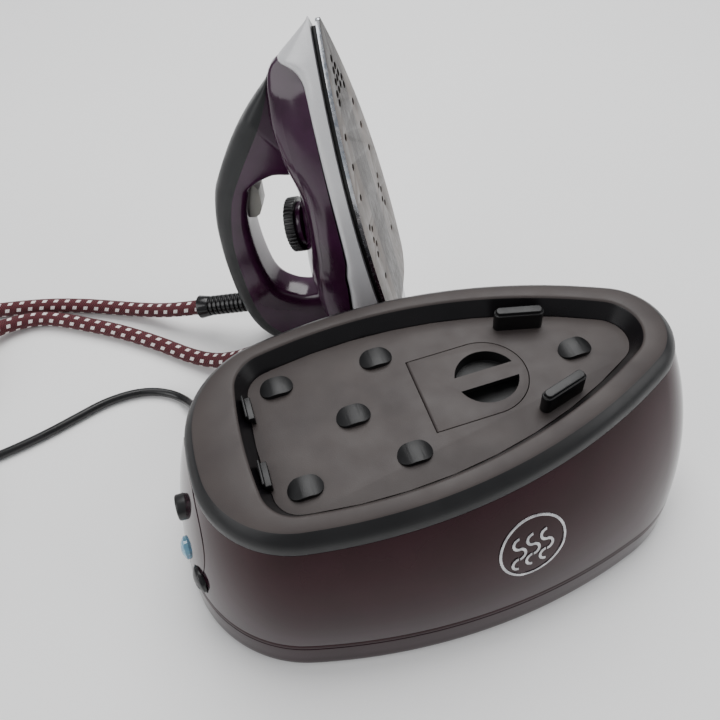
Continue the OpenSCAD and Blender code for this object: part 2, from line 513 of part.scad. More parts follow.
cover_in = [[273.4, 100.2], [268.4, 113.3], [258.2, 121.8], [246, 126.8], [228, 128.2], [207, 127.2], [181, 124.2],
  [158, 120], [139, 113.8], [121, 106.2], [110, 99.7], [91.6, 85.9], [76, 73.2], [62, 61.8], [43, 49.9], [33, 45.7]];
module handle_cover() color([0.15, 0.15, 0.16]) iron_at() above_table() difference() {
  intersection() {
    side_cut(concat(cover_out, cover_in), handle_hw);
    translate([0, 0, 30]) linear_extrude(140) house_2d(13);
  }
  for (s = [-1, 1]) rotate([90, 0, 0]) translate([0, 0, s > 0 ? handle_hw - 2.5 : -handle_hw - 1])
    linear_extrude(3.5) polygon(sx(concat([for (q = cover_out) q + [0, 1]], [[286, 106], [275, 112], [265, 129],
      [245, 137], [220, 137.5], [195, 135.5], [170, 132], [140, 125], [116, 116], [100, 106], [80, 90.5], [58, 69], [38, 50]])));
  translate([-237, 0, 90]) cylinder(r = 9.6, h = 60);
}
module heel_rest() color([0.07, 0.07, 0.08]) iron_at() above_table() for (s = [-1, 1])
  intersection() {
    translate([-306, s * 17 - 6, 14]) cube([16, 12, 26]);
    translate([0, 0, 5]) linear_extrude(60) house_2d(4.4);
    rotate([0, 90 + iron_lean, 0]) rotate([0, 0, -iron_yaw]) translate([-300, -300, -iron_h]) cube([600, 600, 8]);
  }
trig_p = [-113, 94.5];   // hinge of the trigger
module steam_trigger() color([0.72, 0.70, 0.66]) iron_at() difference() {
  union() {
    translate([trig_p[0], 0, trig_p[1]]) rotate([90, 0, 0]) cylinder(r = 3.4, h = 13.6, center = true);
    rotate([90, 0, 0]) translate([0, 0, -6.8]) linear_extrude(13.6)
      polygon([[-112, 91], [-111, 96], [-114, 98], [-124, 99.3], [-127.5, 103.6], [-136, 105.5], [-139.5, 102], [-140.5, 95],
        [-138, 90.5], [-131, 86.5], [-116, 83.5], [-111, 86]]);
  }
  translate([trig_p[0], 0, trig_p[1]]) rotate([90, 0, 0]) cylinder(r = 1.55, h = 30, center = true);
}
module trigger_pin() color([0.7, 0.7, 0.72]) iron_at() translate([trig_p[0], 0, trig_p[1]])
  rotate([90, 0, 0]) cylinder(r = 1.5, h = 22, center = true);
module trigger_spring() color([0.75, 0.75, 0.77]) iron_at() translate([-120, 0, 101.1])
  difference() { cylinder(r = 2.2, h = 3.3); translate([0, 0, -1]) cylinder(r = 1.6, h = 12); }
module microswitch() color([0.10, 0.10, 0.11]) iron_at() {
  translate([-166, -5, 109.3]) cube([22, 10, 4.4]);
  translate([-165, -2, 108.7]) cube([34, 4, 0.65]);
}
dial_s = -158;
module dial_ring() color([0.05, 0.05, 0.05]) iron_at() translate([dial_s, 0, 63]) difference() {
  linear_extrude(8) difference() { circle(dial_r, $fn = 96);
    for (i = [0:39]) rotate(i * 9) translate([dial_r + 0.35, 0]) circle(0.95, $fn = 14); }
  translate([0, 0, -1]) cylinder(r = 16.4, h = 6.8);
  translate([0, 0, 7.2]) cylinder(r = 16, h = 2);
}
module dial_collar() color([0.24, 0.12, 0.20]) iron_at() translate([dial_s, 0, 58.6]) difference() {
  union() { cylinder(r = 18, h = 4.4); translate([0, 0, 4.3]) cylinder(r = 16.3, h = 5.6); }
  translate([0, 0, -1]) cylinder(r = 3.02, h = 12);
}
module dial_shaft() color([0.75, 0.75, 0.77]) iron_at() translate([dial_s, 0, 33]) cylinder(r = 3, h = 35);
module iron_thermostat() color([0.86, 0.84, 0.78]) iron_at() translate([dial_s, 0, 0]) difference() {
  union() { translate([-12, -9, 18.8]) cube([24, 18, 5]); translate([0, 0, 23.7]) cylinder(r = 9, h = 9); }
  translate([0, 0, 24]) cylinder(r = 3.05, h = 20);
}
module iron_fuse() color([0.85, 0.82, 0.75]) iron_at() {
  rod([-112, 14, 23.2], [-92, 14, 23.2], 2.6); rod([-122, 14, 23.2], [-82, 14, 23.2], 0.7);
  translate([-104, 11, 18.7]) cube([4, 6, 2.4]);
}
module steam_inlet() color([0.88, 0.86, 0.82]) iron_at() {
  rod([-180, 0, 18], [-180, 0, 40], 3); translate([-180, 0, 40]) sphere(3.3);
  rod([-180, 0, 40], [-214, 0, 52], 3); translate([-214, 0, 52]) sphere(3.3);
  rod([-214, 0, 52], [-236, 0, 56], 3); translate([-236, 0, 56]) sphere(3.3);
}
module strain_relief() color([0.05, 0.05, 0.05]) iron_at() translate([-237, 0, 0]) difference() {
  union() {
    translate([0, 0, 112]) cylinder(r = 7.5, h = 30);
    for (i = [0:8]) translate([0, 0, 140 + i * 4.4]) { cylinder(r = 9.2, h = 2.8); translate([0, 0, 2.7]) cylinder(r = 7.6, h = 1.8); }
    translate([0, 0, 179.5]) cylinder(r1 = 9.2, r2 = 10.9, h = 10.5);
  }
  translate([0, 0, 100]) cylinder(r = 4, h = 60);
}
module iron_screws() color([0.75, 0.75, 0.77]) iron_at() for (p = [[-84, 0], [-216, 0]])
  translate([p[0], p[1], 10]) { cylinder(r = 1.5, h = 9); translate([0, 0, 8.6]) cylinder(r = 3, h = 1.8); }

// ---- leads ----
// gentle curve through hand picked points, k steps between neighbours
function cr(a, b, c, d, t) = 0.5 * ((2 * b) + (c - a) * t + (2 * a - 5 * b + 4 * c - d) * t * t
  + (3 * b - a - 3 * c + d) * t * t * t);
function curve(p, k) = let(n = len(p)) concat([for (i = [0:n - 2], j = [0:k - 1])
  cr(p[max(i - 1, 0)], p[i], p[i + 1], p[min(i + 2, n - 1)], j / k)], [p[n - 1]]);
module tube(p, r, m) {
  n = len(p);
  loft([for (i = [0:n - 1]) let(d = p[min(i + 1, n - 1)] - p[max(i - 1, 0)], t = d / norm(d),
    s0 = cross([0, 0, 1], t), s = s0 / norm(s0), u = cross(t, s))
    [for (k = [0:m - 1]) p[i] + r * (s * cos(k * 360 / m) + u * sin(k * 360 / m))]]);
}
hose_a = [[-139.2, 228.7, 27], [-158, 237, 21.5], [-178, 249, 14.5], [-199, 262, 9.4], [-222, 274, 7.4],
  [-250, 286, 7.1], [-285, 297, 7.1], [-330, 305, 7.1], [-380, 309, 7.1], [-430, 309, 7.1]];
hose_b = [[-352, 231, 22], [-351, 244, 20], [-346, 258, 17], [-335, 270, 13], [-320, 278, 10], [-302, 281, 8],
  [-285, 279, 7.2], [-268, 271, 7.1], [-251, 261, 7.1], [-218, 240, 7.1], [-184, 213, 7.1], [-158, 189, 7.4],
  [-136, 171, 13], [-117, 158, 25], [-104, 148, 38], [-98.3, 143.3, 44]];
lead_a = [[-158.1, 117.4, 18], [-163, 124, 15], [-167, 134, 9], [-173, 145, 4.6], [-184, 155, 3.8], [-200, 162, 3.8],
  [-218, 164, 3.8], [-240, 161, 3.8], [-262, 153, 3.8], [-295, 141, 3.8], [-335, 131, 3.8], [-370, 127, 3.8], [-398, 126, 3.8]];
lead_b = [[-449.5, 82, 11], [-450, 66, 10], [-447, 50, 7], [-440, 36, 5], [-429, 25, 6.5], [-416, 18, 11], [-406, 14.5, 13]];
hose_c = [-432, 229]; lead_c = [-400, 84];
module steam_hose() color([0.42, 0.08, 0.12]) base_at() {
  tube(curve(hose_a, 2), hose_d / 2, 10); tube(curve(hose_b, 2), hose_d / 2, 10);
}
module hose_coil() color([0.42, 0.08, 0.12]) base_at() translate([hose_c[0], hose_c[1], 0])
  rotate_extrude($fn = 72) translate([hose_coil_r - 7.2, 0.1]) square([14.4, 28.6]);
module mains_lead() color([0.05, 0.05, 0.05]) base_at() {
  tube(curve(lead_a, 2), lead_d / 2, 8); tube(curve(lead_b, 2), lead_d / 2, 8);
}
module lead_coil() color([0.05, 0.05, 0.05]) base_at() translate([lead_c[0], lead_c[1], 0])
  rotate_extrude($fn = 72) translate([lead_coil_r - 11.5, 0.1]) square([23, 14.8]);
module mains_plug() color([0.05, 0.05, 0.05]) base_at() translate([-406, 14.5, 13]) rotate([0, 90, -18]) {
  cylinder(r1 = 5, r2 = 7, h = 20); translate([0, 0, 19.9]) cylinder(r = 13, h = 16);
  for (s = [-1, 1]) translate([0, s * 9.5, 35]) cylinder(r = 2.4, h = 19);
}

bottom_pan();
side_shell();
top_deck();
rest_plate();
rest_pads();
rest_guides();
heel_hooks();
filler_lid();
lid_pin();
lid_seal();
filler_cup();
water_tank();
feed_pump();
feed_tubes();
boiler();
boiler_element();
boiler_saddles();
steam_valve();
steam_pipe();
thermal_cutout();
control_board();
control_panel();
power_button();
lamp_lens();
rinse_cap();
badge_ring();
rubber_feet();
base_screws();
hose_gland();
mains_gland();
soleplate();
sole_heater();
heating_element();
chamber_cover();
heat_shield();
silver_skirt();
body_shell();
handle_frame();
handle_cover();
heel_rest();
steam_trigger();
trigger_pin();
trigger_spring();
microswitch();
dial_ring();
dial_collar();
dial_shaft();
iron_thermostat();
iron_fuse();
steam_inlet();
strain_relief();
iron_screws();
steam_hose();
hose_coil();
mains_lead();
lead_coil();
mains_plug();
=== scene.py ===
# %% [markdown]
# # Steam generator iron
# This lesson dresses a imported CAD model: a base station, a hand iron standing on its heel behind
# it, a braided hose and a mains lead. The CAD gives the sizes; here each visible piece gets its
# smooth shape and its finish.

# %% Load the fixed frame
import math

import bmesh
import bpy
import numpy as np
from mathutils import Matrix, Vector


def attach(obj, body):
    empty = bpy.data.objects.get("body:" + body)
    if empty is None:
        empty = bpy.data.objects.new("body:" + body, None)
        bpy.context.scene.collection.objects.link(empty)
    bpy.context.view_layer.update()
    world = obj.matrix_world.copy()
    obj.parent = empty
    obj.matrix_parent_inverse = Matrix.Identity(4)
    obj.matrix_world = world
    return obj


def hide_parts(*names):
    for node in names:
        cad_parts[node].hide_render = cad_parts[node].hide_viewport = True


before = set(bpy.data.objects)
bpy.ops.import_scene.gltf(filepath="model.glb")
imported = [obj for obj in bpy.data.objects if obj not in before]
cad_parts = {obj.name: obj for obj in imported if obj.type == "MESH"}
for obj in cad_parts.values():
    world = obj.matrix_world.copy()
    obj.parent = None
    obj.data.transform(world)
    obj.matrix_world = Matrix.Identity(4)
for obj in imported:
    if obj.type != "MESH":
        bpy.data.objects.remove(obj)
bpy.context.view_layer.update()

MM = 0.001
ORIGIN = Vector((6.52, 59.21, 0))      # the row's origin, seen from the base's own middle

# The iron is drawn lying flat and stood on its heel by one matrix, in base millimetres.
IRON_TIP = Vector((-22, 179, 303))
IRON_YAW, IRON_LEAN = math.radians(-23), math.radians(14)
STAND = (Matrix.Translation(IRON_TIP) @ Matrix.Rotation(IRON_YAW, 4, "Z")
         @ Matrix.Rotation(-(math.pi / 2 + IRON_LEAN), 4, "Y"))

# %% [markdown]
# ## The camera
# The camera is set up first, at the same viewing angle as the reference: above the control end of
# the base, looking down along it. Three angles and a place are enough, so the matrix is built from
# them directly.

# %% Camera
CAMERA_AT = Vector((-125.7, -256.5, 504.3))
CAMERA_TURN, CAMERA_PITCH, CAMERA_ROLL = -0.283, 0.8811, -0.0195


def camera_matrix(place, turn, pitch, roll):
    """World matrix of a camera that looks down at the table."""
    back = Vector((math.sin(turn) * math.cos(pitch), -math.cos(turn) * math.cos(pitch), math.sin(pitch)))
    right = Vector((math.cos(turn), math.sin(turn), 0))
    up = back.cross(right)
    side = math.cos(roll) * right + math.sin(roll) * up
    top = -math.sin(roll) * right + math.cos(roll) * up
    m = Matrix((side, top, back)).transposed().to_4x4()
    m.translation = (place - ORIGIN) * MM
    return m


lens = bpy.data.cameras.new("camera")
lens.lens = 35.25
lens.sensor_width = 36
lens.clip_start = 0.01
camera = bpy.data.objects.new("camera", lens)
camera.matrix_world = camera_matrix(CAMERA_AT, CAMERA_TURN, CAMERA_PITCH, CAMERA_ROLL)
bpy.context.scene.collection.objects.link(camera)
bpy.context.scene.camera = camera
print("camera at", tuple(round(v, 3) for v in camera.location))

# %% [markdown]
# ## Colours and finishes
# Colours are written as the hex values a designer reads off a screen, so they are turned from
# sRGB to the linear light that the renderer works in. One helper adds a node and links its inputs,
# which keeps each finish down to a few lines.

# %% Colour and node helpers
def srgb(code, alpha=1.0):
    """Linear colour from a hex code such as '2a1522'."""
    parts = [int(code[i:i + 2], 16) / 255 for i in (0, 2, 4)]
    linear = [c / 12.92 if c <= 0.04045 else ((c + 0.055) / 1.055) ** 2.4 for c in parts]
    return (*linear, alpha)


def add_node(tree, kind, inputs=None, **settings):
    """A new node of that kind; inputs maps a socket to a value or to another node's output."""
    node = tree.nodes.new(kind)
    for name, value in settings.items():
        setattr(node, name, value)
    for name, value in (inputs or {}).items():
        if isinstance(value, bpy.types.NodeSocket):
            tree.links.new(value, node.inputs[name])
        else:
            node.inputs[name].default_value = value
    return node


def ramp(tree, factor, stops):
    """Colour ramp through (position, hex colour or grey value) stops."""
    node = add_node(tree, "ShaderNodeValToRGB", {"Fac": factor})
    elements = node.color_ramp.elements
    while len(elements) < len(stops):
        elements.new(0.5)
    for element, (place, colour) in zip(elements, stops):
        element.position = place
        element.color = srgb(colour) if isinstance(colour, str) else (colour, colour, colour, 1)
    return node.outputs["Color"]


def finish_named(name):
    """An empty material with a Principled shader: (material, tree, shader, object coordinates)."""
    material = bpy.data.materials.new(name)
    material.use_nodes = True
    tree = material.node_tree
    shader = next(n for n in tree.nodes if n.type == "BSDF_PRINCIPLED")
    place = add_node(tree, "ShaderNodeTexCoord").outputs["Object"]
    return material, tree, shader, place


def noise(tree, place, cell_mm, detail=3.0, roughness=0.5):
    """Noise whose blobs are about cell_mm across."""
    return add_node(tree, "ShaderNodeTexNoise", {"Vector": place, "Scale": 1000 / cell_mm,
                                                 "Detail": detail, "Roughness": roughness}).outputs["Fac"]


def bump(tree, shader, height, depth_mm, strength=1.0):
    """Raises the surface by height times depth_mm."""
    node = add_node(tree, "ShaderNodeBump", {"Height": height, "Distance": depth_mm * MM,
                                             "Strength": strength})
    tree.links.new(node.outputs["Normal"], shader.inputs["Normal"])


# %% [markdown]
# Moulded plastics differ in three things: their colour, how fine the texture of the mould is and
# how much they shine. So one function makes them all, from glossy housing to grained deck. The
# roughness varies a little over a few centimetres, as handling does to a real surface.

# %% Moulded plastics and rubbers
def moulded(name, deep, light, roughness, grain_mm, grain_depth_mm, coat=0.0, spread=0.08, specular=0.5):
    """A moulded plastic or rubber."""
    material, tree, shader, place = finish_named(name)
    cloud = noise(tree, place, 38)
    colour = ramp(tree, cloud, [(0.3, deep), (0.72, light)])
    tree.links.new(colour, shader.inputs["Base Color"])
    shine = add_node(tree, "ShaderNodeMapRange",
                     {"Value": noise(tree, place, 17, 5.0), "From Min": 0.3, "From Max": 0.7,
                      "To Min": max(0.02, roughness - spread), "To Max": roughness + spread})
    tree.links.new(shine.outputs["Result"], shader.inputs["Roughness"])
    bump(tree, shader, noise(tree, place, grain_mm, 2.0), grain_depth_mm)
    shader.inputs["Coat Weight"].default_value = coat
    shader.inputs["Coat Roughness"].default_value = 0.04
    shader.inputs["Specular IOR Level"].default_value = specular
    return material


gloss_aubergine = moulded("gloss_aubergine_abs", "190610", "240c18", 0.08, 9, 0.006, coat=0.0, spread=0.03,
                          specular=0.3)
gloss_aubergine.node_tree.nodes["Principled BSDF"].inputs["Specular Tint"].default_value = srgb("ffd9d2")
gloss_iron = moulded("gloss_iron_housing", "2c1026", "411e3c", 0.16, 7, 0.012, coat=0.1, spread=0.04)
# Side band and well walls of the deck: the same moulding as the grained deck with a smoother finish, its colour
# painted darker as painted shade where these faces turn away from the light above.
deck_wall_painted_shade = moulded("satin_deck_wall_painted_shade", "09080a", "121012", 0.3, 8, 0.01, spread=0.05, specular=0.35)
rim_band_painted_shade = moulded("satin_rim_band_painted_shade", "161617", "1f1f20", 0.36, 3, 0.012, spread=0.05, specular=0.3)
deck_grain = moulded("grained_warm_grey_deck", "393332", "433d3b", 0.52, 0.7, 0.05, spread=0.06, specular=0.3)
pad_rubber = moulded("moulded_black_rubber", "070708", "111112", 0.42, 1.1, 0.05, specular=0.35)
soft_touch = moulded("soft_touch_dark_grip", "1f2021", "2b2c2d", 0.42, 0.55, 0.03, specular=0.4)
ribbed_black = moulded("glossy_ribbed_sleeve", "0a0a0b", "141415", 0.2, 2.0, 0.02, spread=0.04)
black_nylon = moulded("black_nylon", "0b0b0c", "161617", 0.32, 0.9, 0.03)
trigger_grey = moulded("light_grey_trigger", "9c9a93", "b3b1aa", 0.35, 1.2, 0.02)
cord_jacket = moulded("cord_jacket_pvc", "0b0b0c", "151516", 0.3, 2.0, 0.03)
dark_cast = moulded("dark_cast_aluminium", "08080a", "101012", 0.55, 1.5, 0.04)
inner_plastic = moulded("inner_plastic", "3b3a38", "4a4846", 0.5, 1.0, 0.03)
print("plastics ready")

# %% [markdown]
# Metals need their own finishes: the skirt is silver paint with fine flake, the soleplate is an
# enamelled plate with long polishing streaks, the badge and the pins are plated.

# %% Metals and the lamp
def silver_lacquer():
    """Satin silver paint with fine flake."""
    material, tree, shader, place = finish_named("satin_silver_lacquer")
    flake = noise(tree, place, 0.35, 2.0)
    tree.links.new(ramp(tree, flake, [(0.35, "cdcdcf"), (0.65, "dededf")]), shader.inputs["Base Color"])
    shader.inputs["Metallic"].default_value = 0.18
    wear = add_node(tree, "ShaderNodeMapRange", {"Value": noise(tree, place, 11, 5.0), "From Min": 0.3,
                                                 "From Max": 0.7, "To Min": 0.3, "To Max": 0.42})
    tree.links.new(wear.outputs["Result"], shader.inputs["Roughness"])
    shader.inputs["Coat Weight"].default_value = 0.4
    shader.inputs["Coat Roughness"].default_value = 0.12
    bump(tree, shader, flake, 0.006)
    return material


def sole_enamel():
    """Warm grey-brown enamelled sole, darker down the middle, with fine cut lines and long streaks."""
    material, tree, shader, place = finish_named("streaked_sole_enamel")
    stretch = add_node(tree, "ShaderNodeMapping", {"Vector": place, "Scale": (1.0, 1.0, 0.09)})
    streak = noise(tree, stretch.outputs["Vector"], 2.6, 6.0, 0.62)
    both = add_node(tree, "ShaderNodeMath", {0: streak, 1: noise(tree, place, 24, 4.0)}, operation="MULTIPLY")
    body = ramp(tree, both.outputs["Value"], [(0.14, "453e39"), (0.3, "5c534d"), (0.42, "726860")])
    # distance sideways from the sole's own middle line, in metres
    middle = (IRON_TIP - ORIGIN) * MM
    offset = add_node(tree, "ShaderNodeVectorMath", {0: place, 1: middle}, operation="SUBTRACT")
    across = add_node(tree, "ShaderNodeVectorMath", {0: offset.outputs["Vector"], 1: STAND.col[1].to_3d()},
                      operation="DOT_PRODUCT").outputs["Value"]
    side = add_node(tree, "ShaderNodeMath", {0: across}, operation="ABSOLUTE").outputs["Value"]
    wide = add_node(tree, "ShaderNodeMath", {0: side, 1: 18.0}, operation="MULTIPLY").outputs["Value"]
    field = ramp(tree, wide, [(0.12, 1.0), (0.27, 1.0), (0.3, 0.0)])
    dark = add_node(tree, "ShaderNodeMix", {"Factor": field}, data_type="RGBA")
    tree.links.new(body, dark.inputs["A"])
    dark.inputs["B"].default_value = srgb("332d2a")
    tree.links.new(dark.outputs["Result"], shader.inputs["Base Color"])
    lines = add_node(tree, "ShaderNodeMath", {0: side, 1: 3140.0}, operation="MULTIPLY").outputs["Value"]
    groove = add_node(tree, "ShaderNodeMath", {0: lines}, operation="SINE").outputs["Value"]
    cut_in = add_node(tree, "ShaderNodeMath", {0: groove, 1: field}, operation="MULTIPLY").outputs["Value"]
    shader.inputs["Metallic"].default_value = 0.55
    shine = add_node(tree, "ShaderNodeMapRange", {"Value": streak, "From Min": 0.3, "From Max": 0.7,
                                                  "To Min": 0.26, "To Max": 0.46})
    tree.links.new(shine.outputs["Result"], shader.inputs["Roughness"])
    height = add_node(tree, "ShaderNodeMath", {0: streak, 1: 0.3, 2: cut_in}, operation="MULTIPLY_ADD")
    bump(tree, shader, height.outputs["Value"], 0.05)
    return material


def bright_metal(name, colour, roughness):
    """Plated or turned metal with faint handling marks."""
    material, tree, shader, place = finish_named(name)
    tree.links.new(ramp(tree, noise(tree, place, 6), [(0.3, colour), (0.7, "d2d2d4")]), shader.inputs["Base Color"])
    shader.inputs["Metallic"].default_value = 1.0
    wear = add_node(tree, "ShaderNodeMapRange", {"Value": noise(tree, place, 3, 5.0), "From Min": 0.3,
                                                 "From Max": 0.7, "To Min": roughness, "To Max": roughness + 0.15})
    tree.links.new(wear.outputs["Result"], shader.inputs["Roughness"])
    return material


def blue_lamp():
    """Translucent blue lamp lens with a frosted inside."""
    material, tree, shader, place = finish_named("frosted_blue_lamp")
    tree.links.new(ramp(tree, noise(tree, place, 5), [(0.3, "5d8ea9"), (0.7, "7fb0c8")]), shader.inputs["Base Color"])
    shader.inputs["Roughness"].default_value = 0.12
    shader.inputs["Subsurface Weight"].default_value = 0.5
    shader.inputs["Subsurface Radius"].default_value = (0.002, 0.003, 0.006)
    shader.inputs["Coat Weight"].default_value = 0.7
    bump(tree, shader, noise(tree, place, 1.2), 0.02)
    return material


silver = silver_lacquer()
sole = sole_enamel()
plated = bright_metal("plated_steel", "9a9a9d", 0.2)
sole_edge = bright_metal("polished_sole_edge", "9aa3ad", 0.16)
lamp_blue = blue_lamp()
print("metals ready")

# %% [markdown]
# The hose wears a woven sleeve. The weave has to follow the hose, so this finish reads the piece's
# own UV map: U runs along the hose in millimetres and V runs around it. Two slanted waves make the
# crossing yarns. The pale flecks lie in six rows, each row shifted a little along the hose.

# %% Woven sleeve
HOSE_RADIUS, LEAD_RADIUS = 6.9, 3.7
ROWS_PER_MM = 6 / (2 * math.pi * HOSE_RADIUS)    # six rows of flecks round the hose
FLECK_PITCH_MM = 11


def woven_sleeve():
    """Dark red braid with pale flecks, on the hose's own UV map."""
    material = bpy.data.materials.new("woven_red_sleeve")
    material.use_nodes = True
    tree = material.node_tree
    shader = next(n for n in tree.nodes if n.type == "BSDF_PRINCIPLED")
    uv = add_node(tree, "ShaderNodeUVMap", uv_map="along").outputs["UV"]
    yarns = []
    for lean in (1, -1):
        turned = add_node(tree, "ShaderNodeMapping", {"Vector": uv, "Rotation": (0, 0, lean * math.radians(38))})
        yarns.append(add_node(tree, "ShaderNodeTexWave", {"Vector": turned.outputs["Vector"], "Scale": 0.17,
                                                          "Distortion": 0.6, "Detail": 1.0},
                              wave_type="BANDS", bands_direction="X").outputs["Fac"])
    weave = add_node(tree, "ShaderNodeMath", {0: yarns[0], 1: yarns[1]}, operation="MAXIMUM").outputs["Value"]
    cross = add_node(tree, "ShaderNodeMath", {0: yarns[0], 1: yarns[1]}, operation="MULTIPLY").outputs["Value"]
    red = ramp(tree, weave, [(0.25, "160306"), (0.75, "460a15"), (1.0, "621422")])
    parts = add_node(tree, "ShaderNodeSeparateXYZ", {"Vector": uv})
    turns = add_node(tree, "ShaderNodeMath", {0: parts.outputs["Y"], 1: ROWS_PER_MM}, operation="MULTIPLY")
    row = add_node(tree, "ShaderNodeMath", {0: turns.outputs["Value"]}, operation="FLOOR").outputs["Value"]
    inside = add_node(tree, "ShaderNodeMath", {0: turns.outputs["Value"]}, operation="FRACT").outputs["Value"]
    lean = add_node(tree, "ShaderNodeMath", {0: inside, 1: 0.22}, operation="MULTIPLY").outputs["Value"]
    shift = add_node(tree, "ShaderNodeMath", {0: row, 1: 0.3, 2: lean}, operation="MULTIPLY_ADD").outputs["Value"]
    along = add_node(tree, "ShaderNodeMath", {0: parts.outputs["X"], 1: 1 / FLECK_PITCH_MM, 2: shift},
                     operation="MULTIPLY_ADD")
    cell = add_node(tree, "ShaderNodeMath", {0: along.outputs["Value"]}, operation="FRACT").outputs["Value"]
    long_way = ramp(tree, cell, [(0.02, 0.0), (0.05, 1.0), (0.38, 1.0), (0.41, 0.0)])
    round_way = ramp(tree, inside, [(0.2, 0.0), (0.25, 1.0), (0.66, 1.0), (0.71, 0.0)])
    fleck = add_node(tree, "ShaderNodeMath", {0: long_way, 1: round_way}, operation="MULTIPLY").outputs["Value"]
    yarn = ramp(tree, weave, [(0.2, 0.55), (0.6, 1.0)])
    fleck = add_node(tree, "ShaderNodeMath", {0: fleck, 1: yarn}, operation="MULTIPLY").outputs["Value"]
    mixed = add_node(tree, "ShaderNodeMix", {"Factor": fleck}, data_type="RGBA")
    tree.links.new(red, mixed.inputs["A"])
    mixed.inputs["B"].default_value = srgb("f2ebe8")
    tree.links.new(mixed.outputs["Result"], shader.inputs["Base Color"])
    shader.inputs["Roughness"].default_value = 0.75
    shader.inputs["Sheen Weight"].default_value = 0.05
    bump(tree, shader, cross, 0.35)
    return material


sleeve = woven_sleeve()


# %% [markdown]
# ## Cords
# Both cords are mesh tubes swept along listed routes, the same as in the CAD. Outside the picture each one is wound
# into a flat coil, and the turns of the coil are worked out by a loop.

# %% Routes
def smooth_route(points, steps):
    """Catmull-Rom curve through the points, with that many steps between neighbours."""
    p = [np.array(q, float) for q in points]
    p = [p[0]] + p + [p[-1]]
    out = []
    for a, b, c, d in zip(p, p[1:], p[2:], p[3:]):
        for k in range(steps):
            t = k / steps
            out.append(0.5 * (2 * b + (c - a) * t + (2 * a - 5 * b + 4 * c - d) * t * t
                              + (3 * b - a - 3 * c + d) * t ** 3))
    out.append(p[-2])
    return out


def winding(centre, stations, step_deg=6):
    """Points of a coil: stations are (angle in degrees, radius, height), joined smoothly."""
    angles = [s[0] for s in stations]
    out = []
    count = int((angles[-1] - angles[0]) / step_deg)
    for k in range(1, count):
        a = angles[0] + (angles[-1] - angles[0]) * k / count
        r = np.interp(a, angles, [s[1] for s in stations])
        z = np.interp(a, angles, [s[2] for s in stations])
        out.append(np.array((centre[0] + r * math.cos(math.radians(a)),
                             centre[1] + r * math.sin(math.radians(a)), z)))
    return out


HOSE_FROM_IRON = [(-139.2, 228.7, 27), (-158, 237, 21.5), (-178, 249, 14.5), (-199, 262, 9.4), (-222, 274, 7.4),
                  (-250, 286, 7.1), (-285, 297, 7.1), (-330, 305, 7.1), (-380, 309, 7.1), (-430, 309, 7.1)]
HOSE_TO_BASE = [(-352, 231, 22), (-351, 244, 20), (-346, 258, 17), (-335, 270, 13), (-320, 278, 10), (-302, 281, 8),
                (-285, 279, 7.2), (-268, 271, 7.1), (-251, 261, 7.1), (-218, 240, 7.1), (-184, 213, 7.1),
                (-158, 189, 7.4), (-136, 171, 13), (-117, 158, 25), (-104, 148, 38), (-98.3, 143.3, 44)]
HOSE_TURNS = [(90, 80, 7.1), (240, 80, 7.3), (335, 80, 18), (370, 80, 21.5), (720, 80, 21.6)]
LEAD_FROM_BASE = [(-158.1, 117.4, 18), (-163, 124, 15), (-167, 134, 9), (-173, 145, 4.6), (-184, 155, 3.8),
                  (-200, 162, 3.8), (-218, 164, 3.8), (-240, 161, 3.8), (-262, 153, 3.8), (-295, 141, 3.8),
                  (-335, 131, 3.8), (-370, 127, 3.8), (-398, 126, 3.8)]
LEAD_TO_PLUG = [(-449.5, 82, 11), (-450, 66, 10), (-447, 50, 7), (-440, 36, 5), (-429, 25, 6.5), (-416, 18, 11),
                (-406, 14.5, 13)]
LEAD_TURNS = [(90, 42, 3.9), (370, 42, 3.9), (440, 34.5, 3.9), (730, 34.5, 4.0), (800, 34.5, 11.2),
              (1100, 34.5, 11.2), (1170, 42, 11.2), (1460, 42, 11.2), (1530, 49.4, 11.2), (1980, 49.5, 11.2)]


def smoothed(points, rounds):
    """Evens out the corners where stations meet, leaving the ends."""
    p = np.array(points)
    for _ in range(rounds):
        p[1:-1] = 0.25 * p[:-2] + 0.5 * p[1:-1] + 0.25 * p[2:]
    return [q for q in p]


hose_route = smoothed(smooth_route(HOSE_FROM_IRON, 6) + winding((-432, 229), HOSE_TURNS)
                      + smooth_route(HOSE_TO_BASE, 5), 3)
lead_route = smoothed(smooth_route(LEAD_FROM_BASE, 5) + winding((-400, 84), LEAD_TURNS, 9)
                      + smooth_route(LEAD_TO_PLUG, 5), 3)


# %% Sweeping a tube
def to_row(p):
    """From the base's millimetres to the row frame's metres."""
    return (Vector((float(p[0]), float(p[1]), float(p[2]))) - ORIGIN) * MM


def add_piece(name, bm, material, sharp_deg=38):
    """Turns a bmesh in base millimetres into a finished object at the origin."""
    for vert in bm.verts:
        vert.co = to_row(vert.co)
    return add_mesh(name, bm, material, sharp_deg)


def add_mesh(name, bm, material, sharp_deg=38):
    """Turns a bmesh in the row frame's metres into an object, with smooth faces and sharp edges."""
    bm.normal_update()
    for face in bm.faces:
        face.smooth = True
    for edge in bm.edges:
        edge.smooth = len(edge.link_faces) == 2 and edge.calc_face_angle(0) < math.radians(sharp_deg)
    mesh = bpy.data.meshes.new(name)
    bm.to_mesh(mesh)
    bm.free()
    for m in (material if isinstance(material, (list, tuple)) else [material]):
        mesh.materials.append(m)
    piece = bpy.data.objects.new(name, mesh)
    bpy.context.scene.collection.objects.link(piece)
    return piece


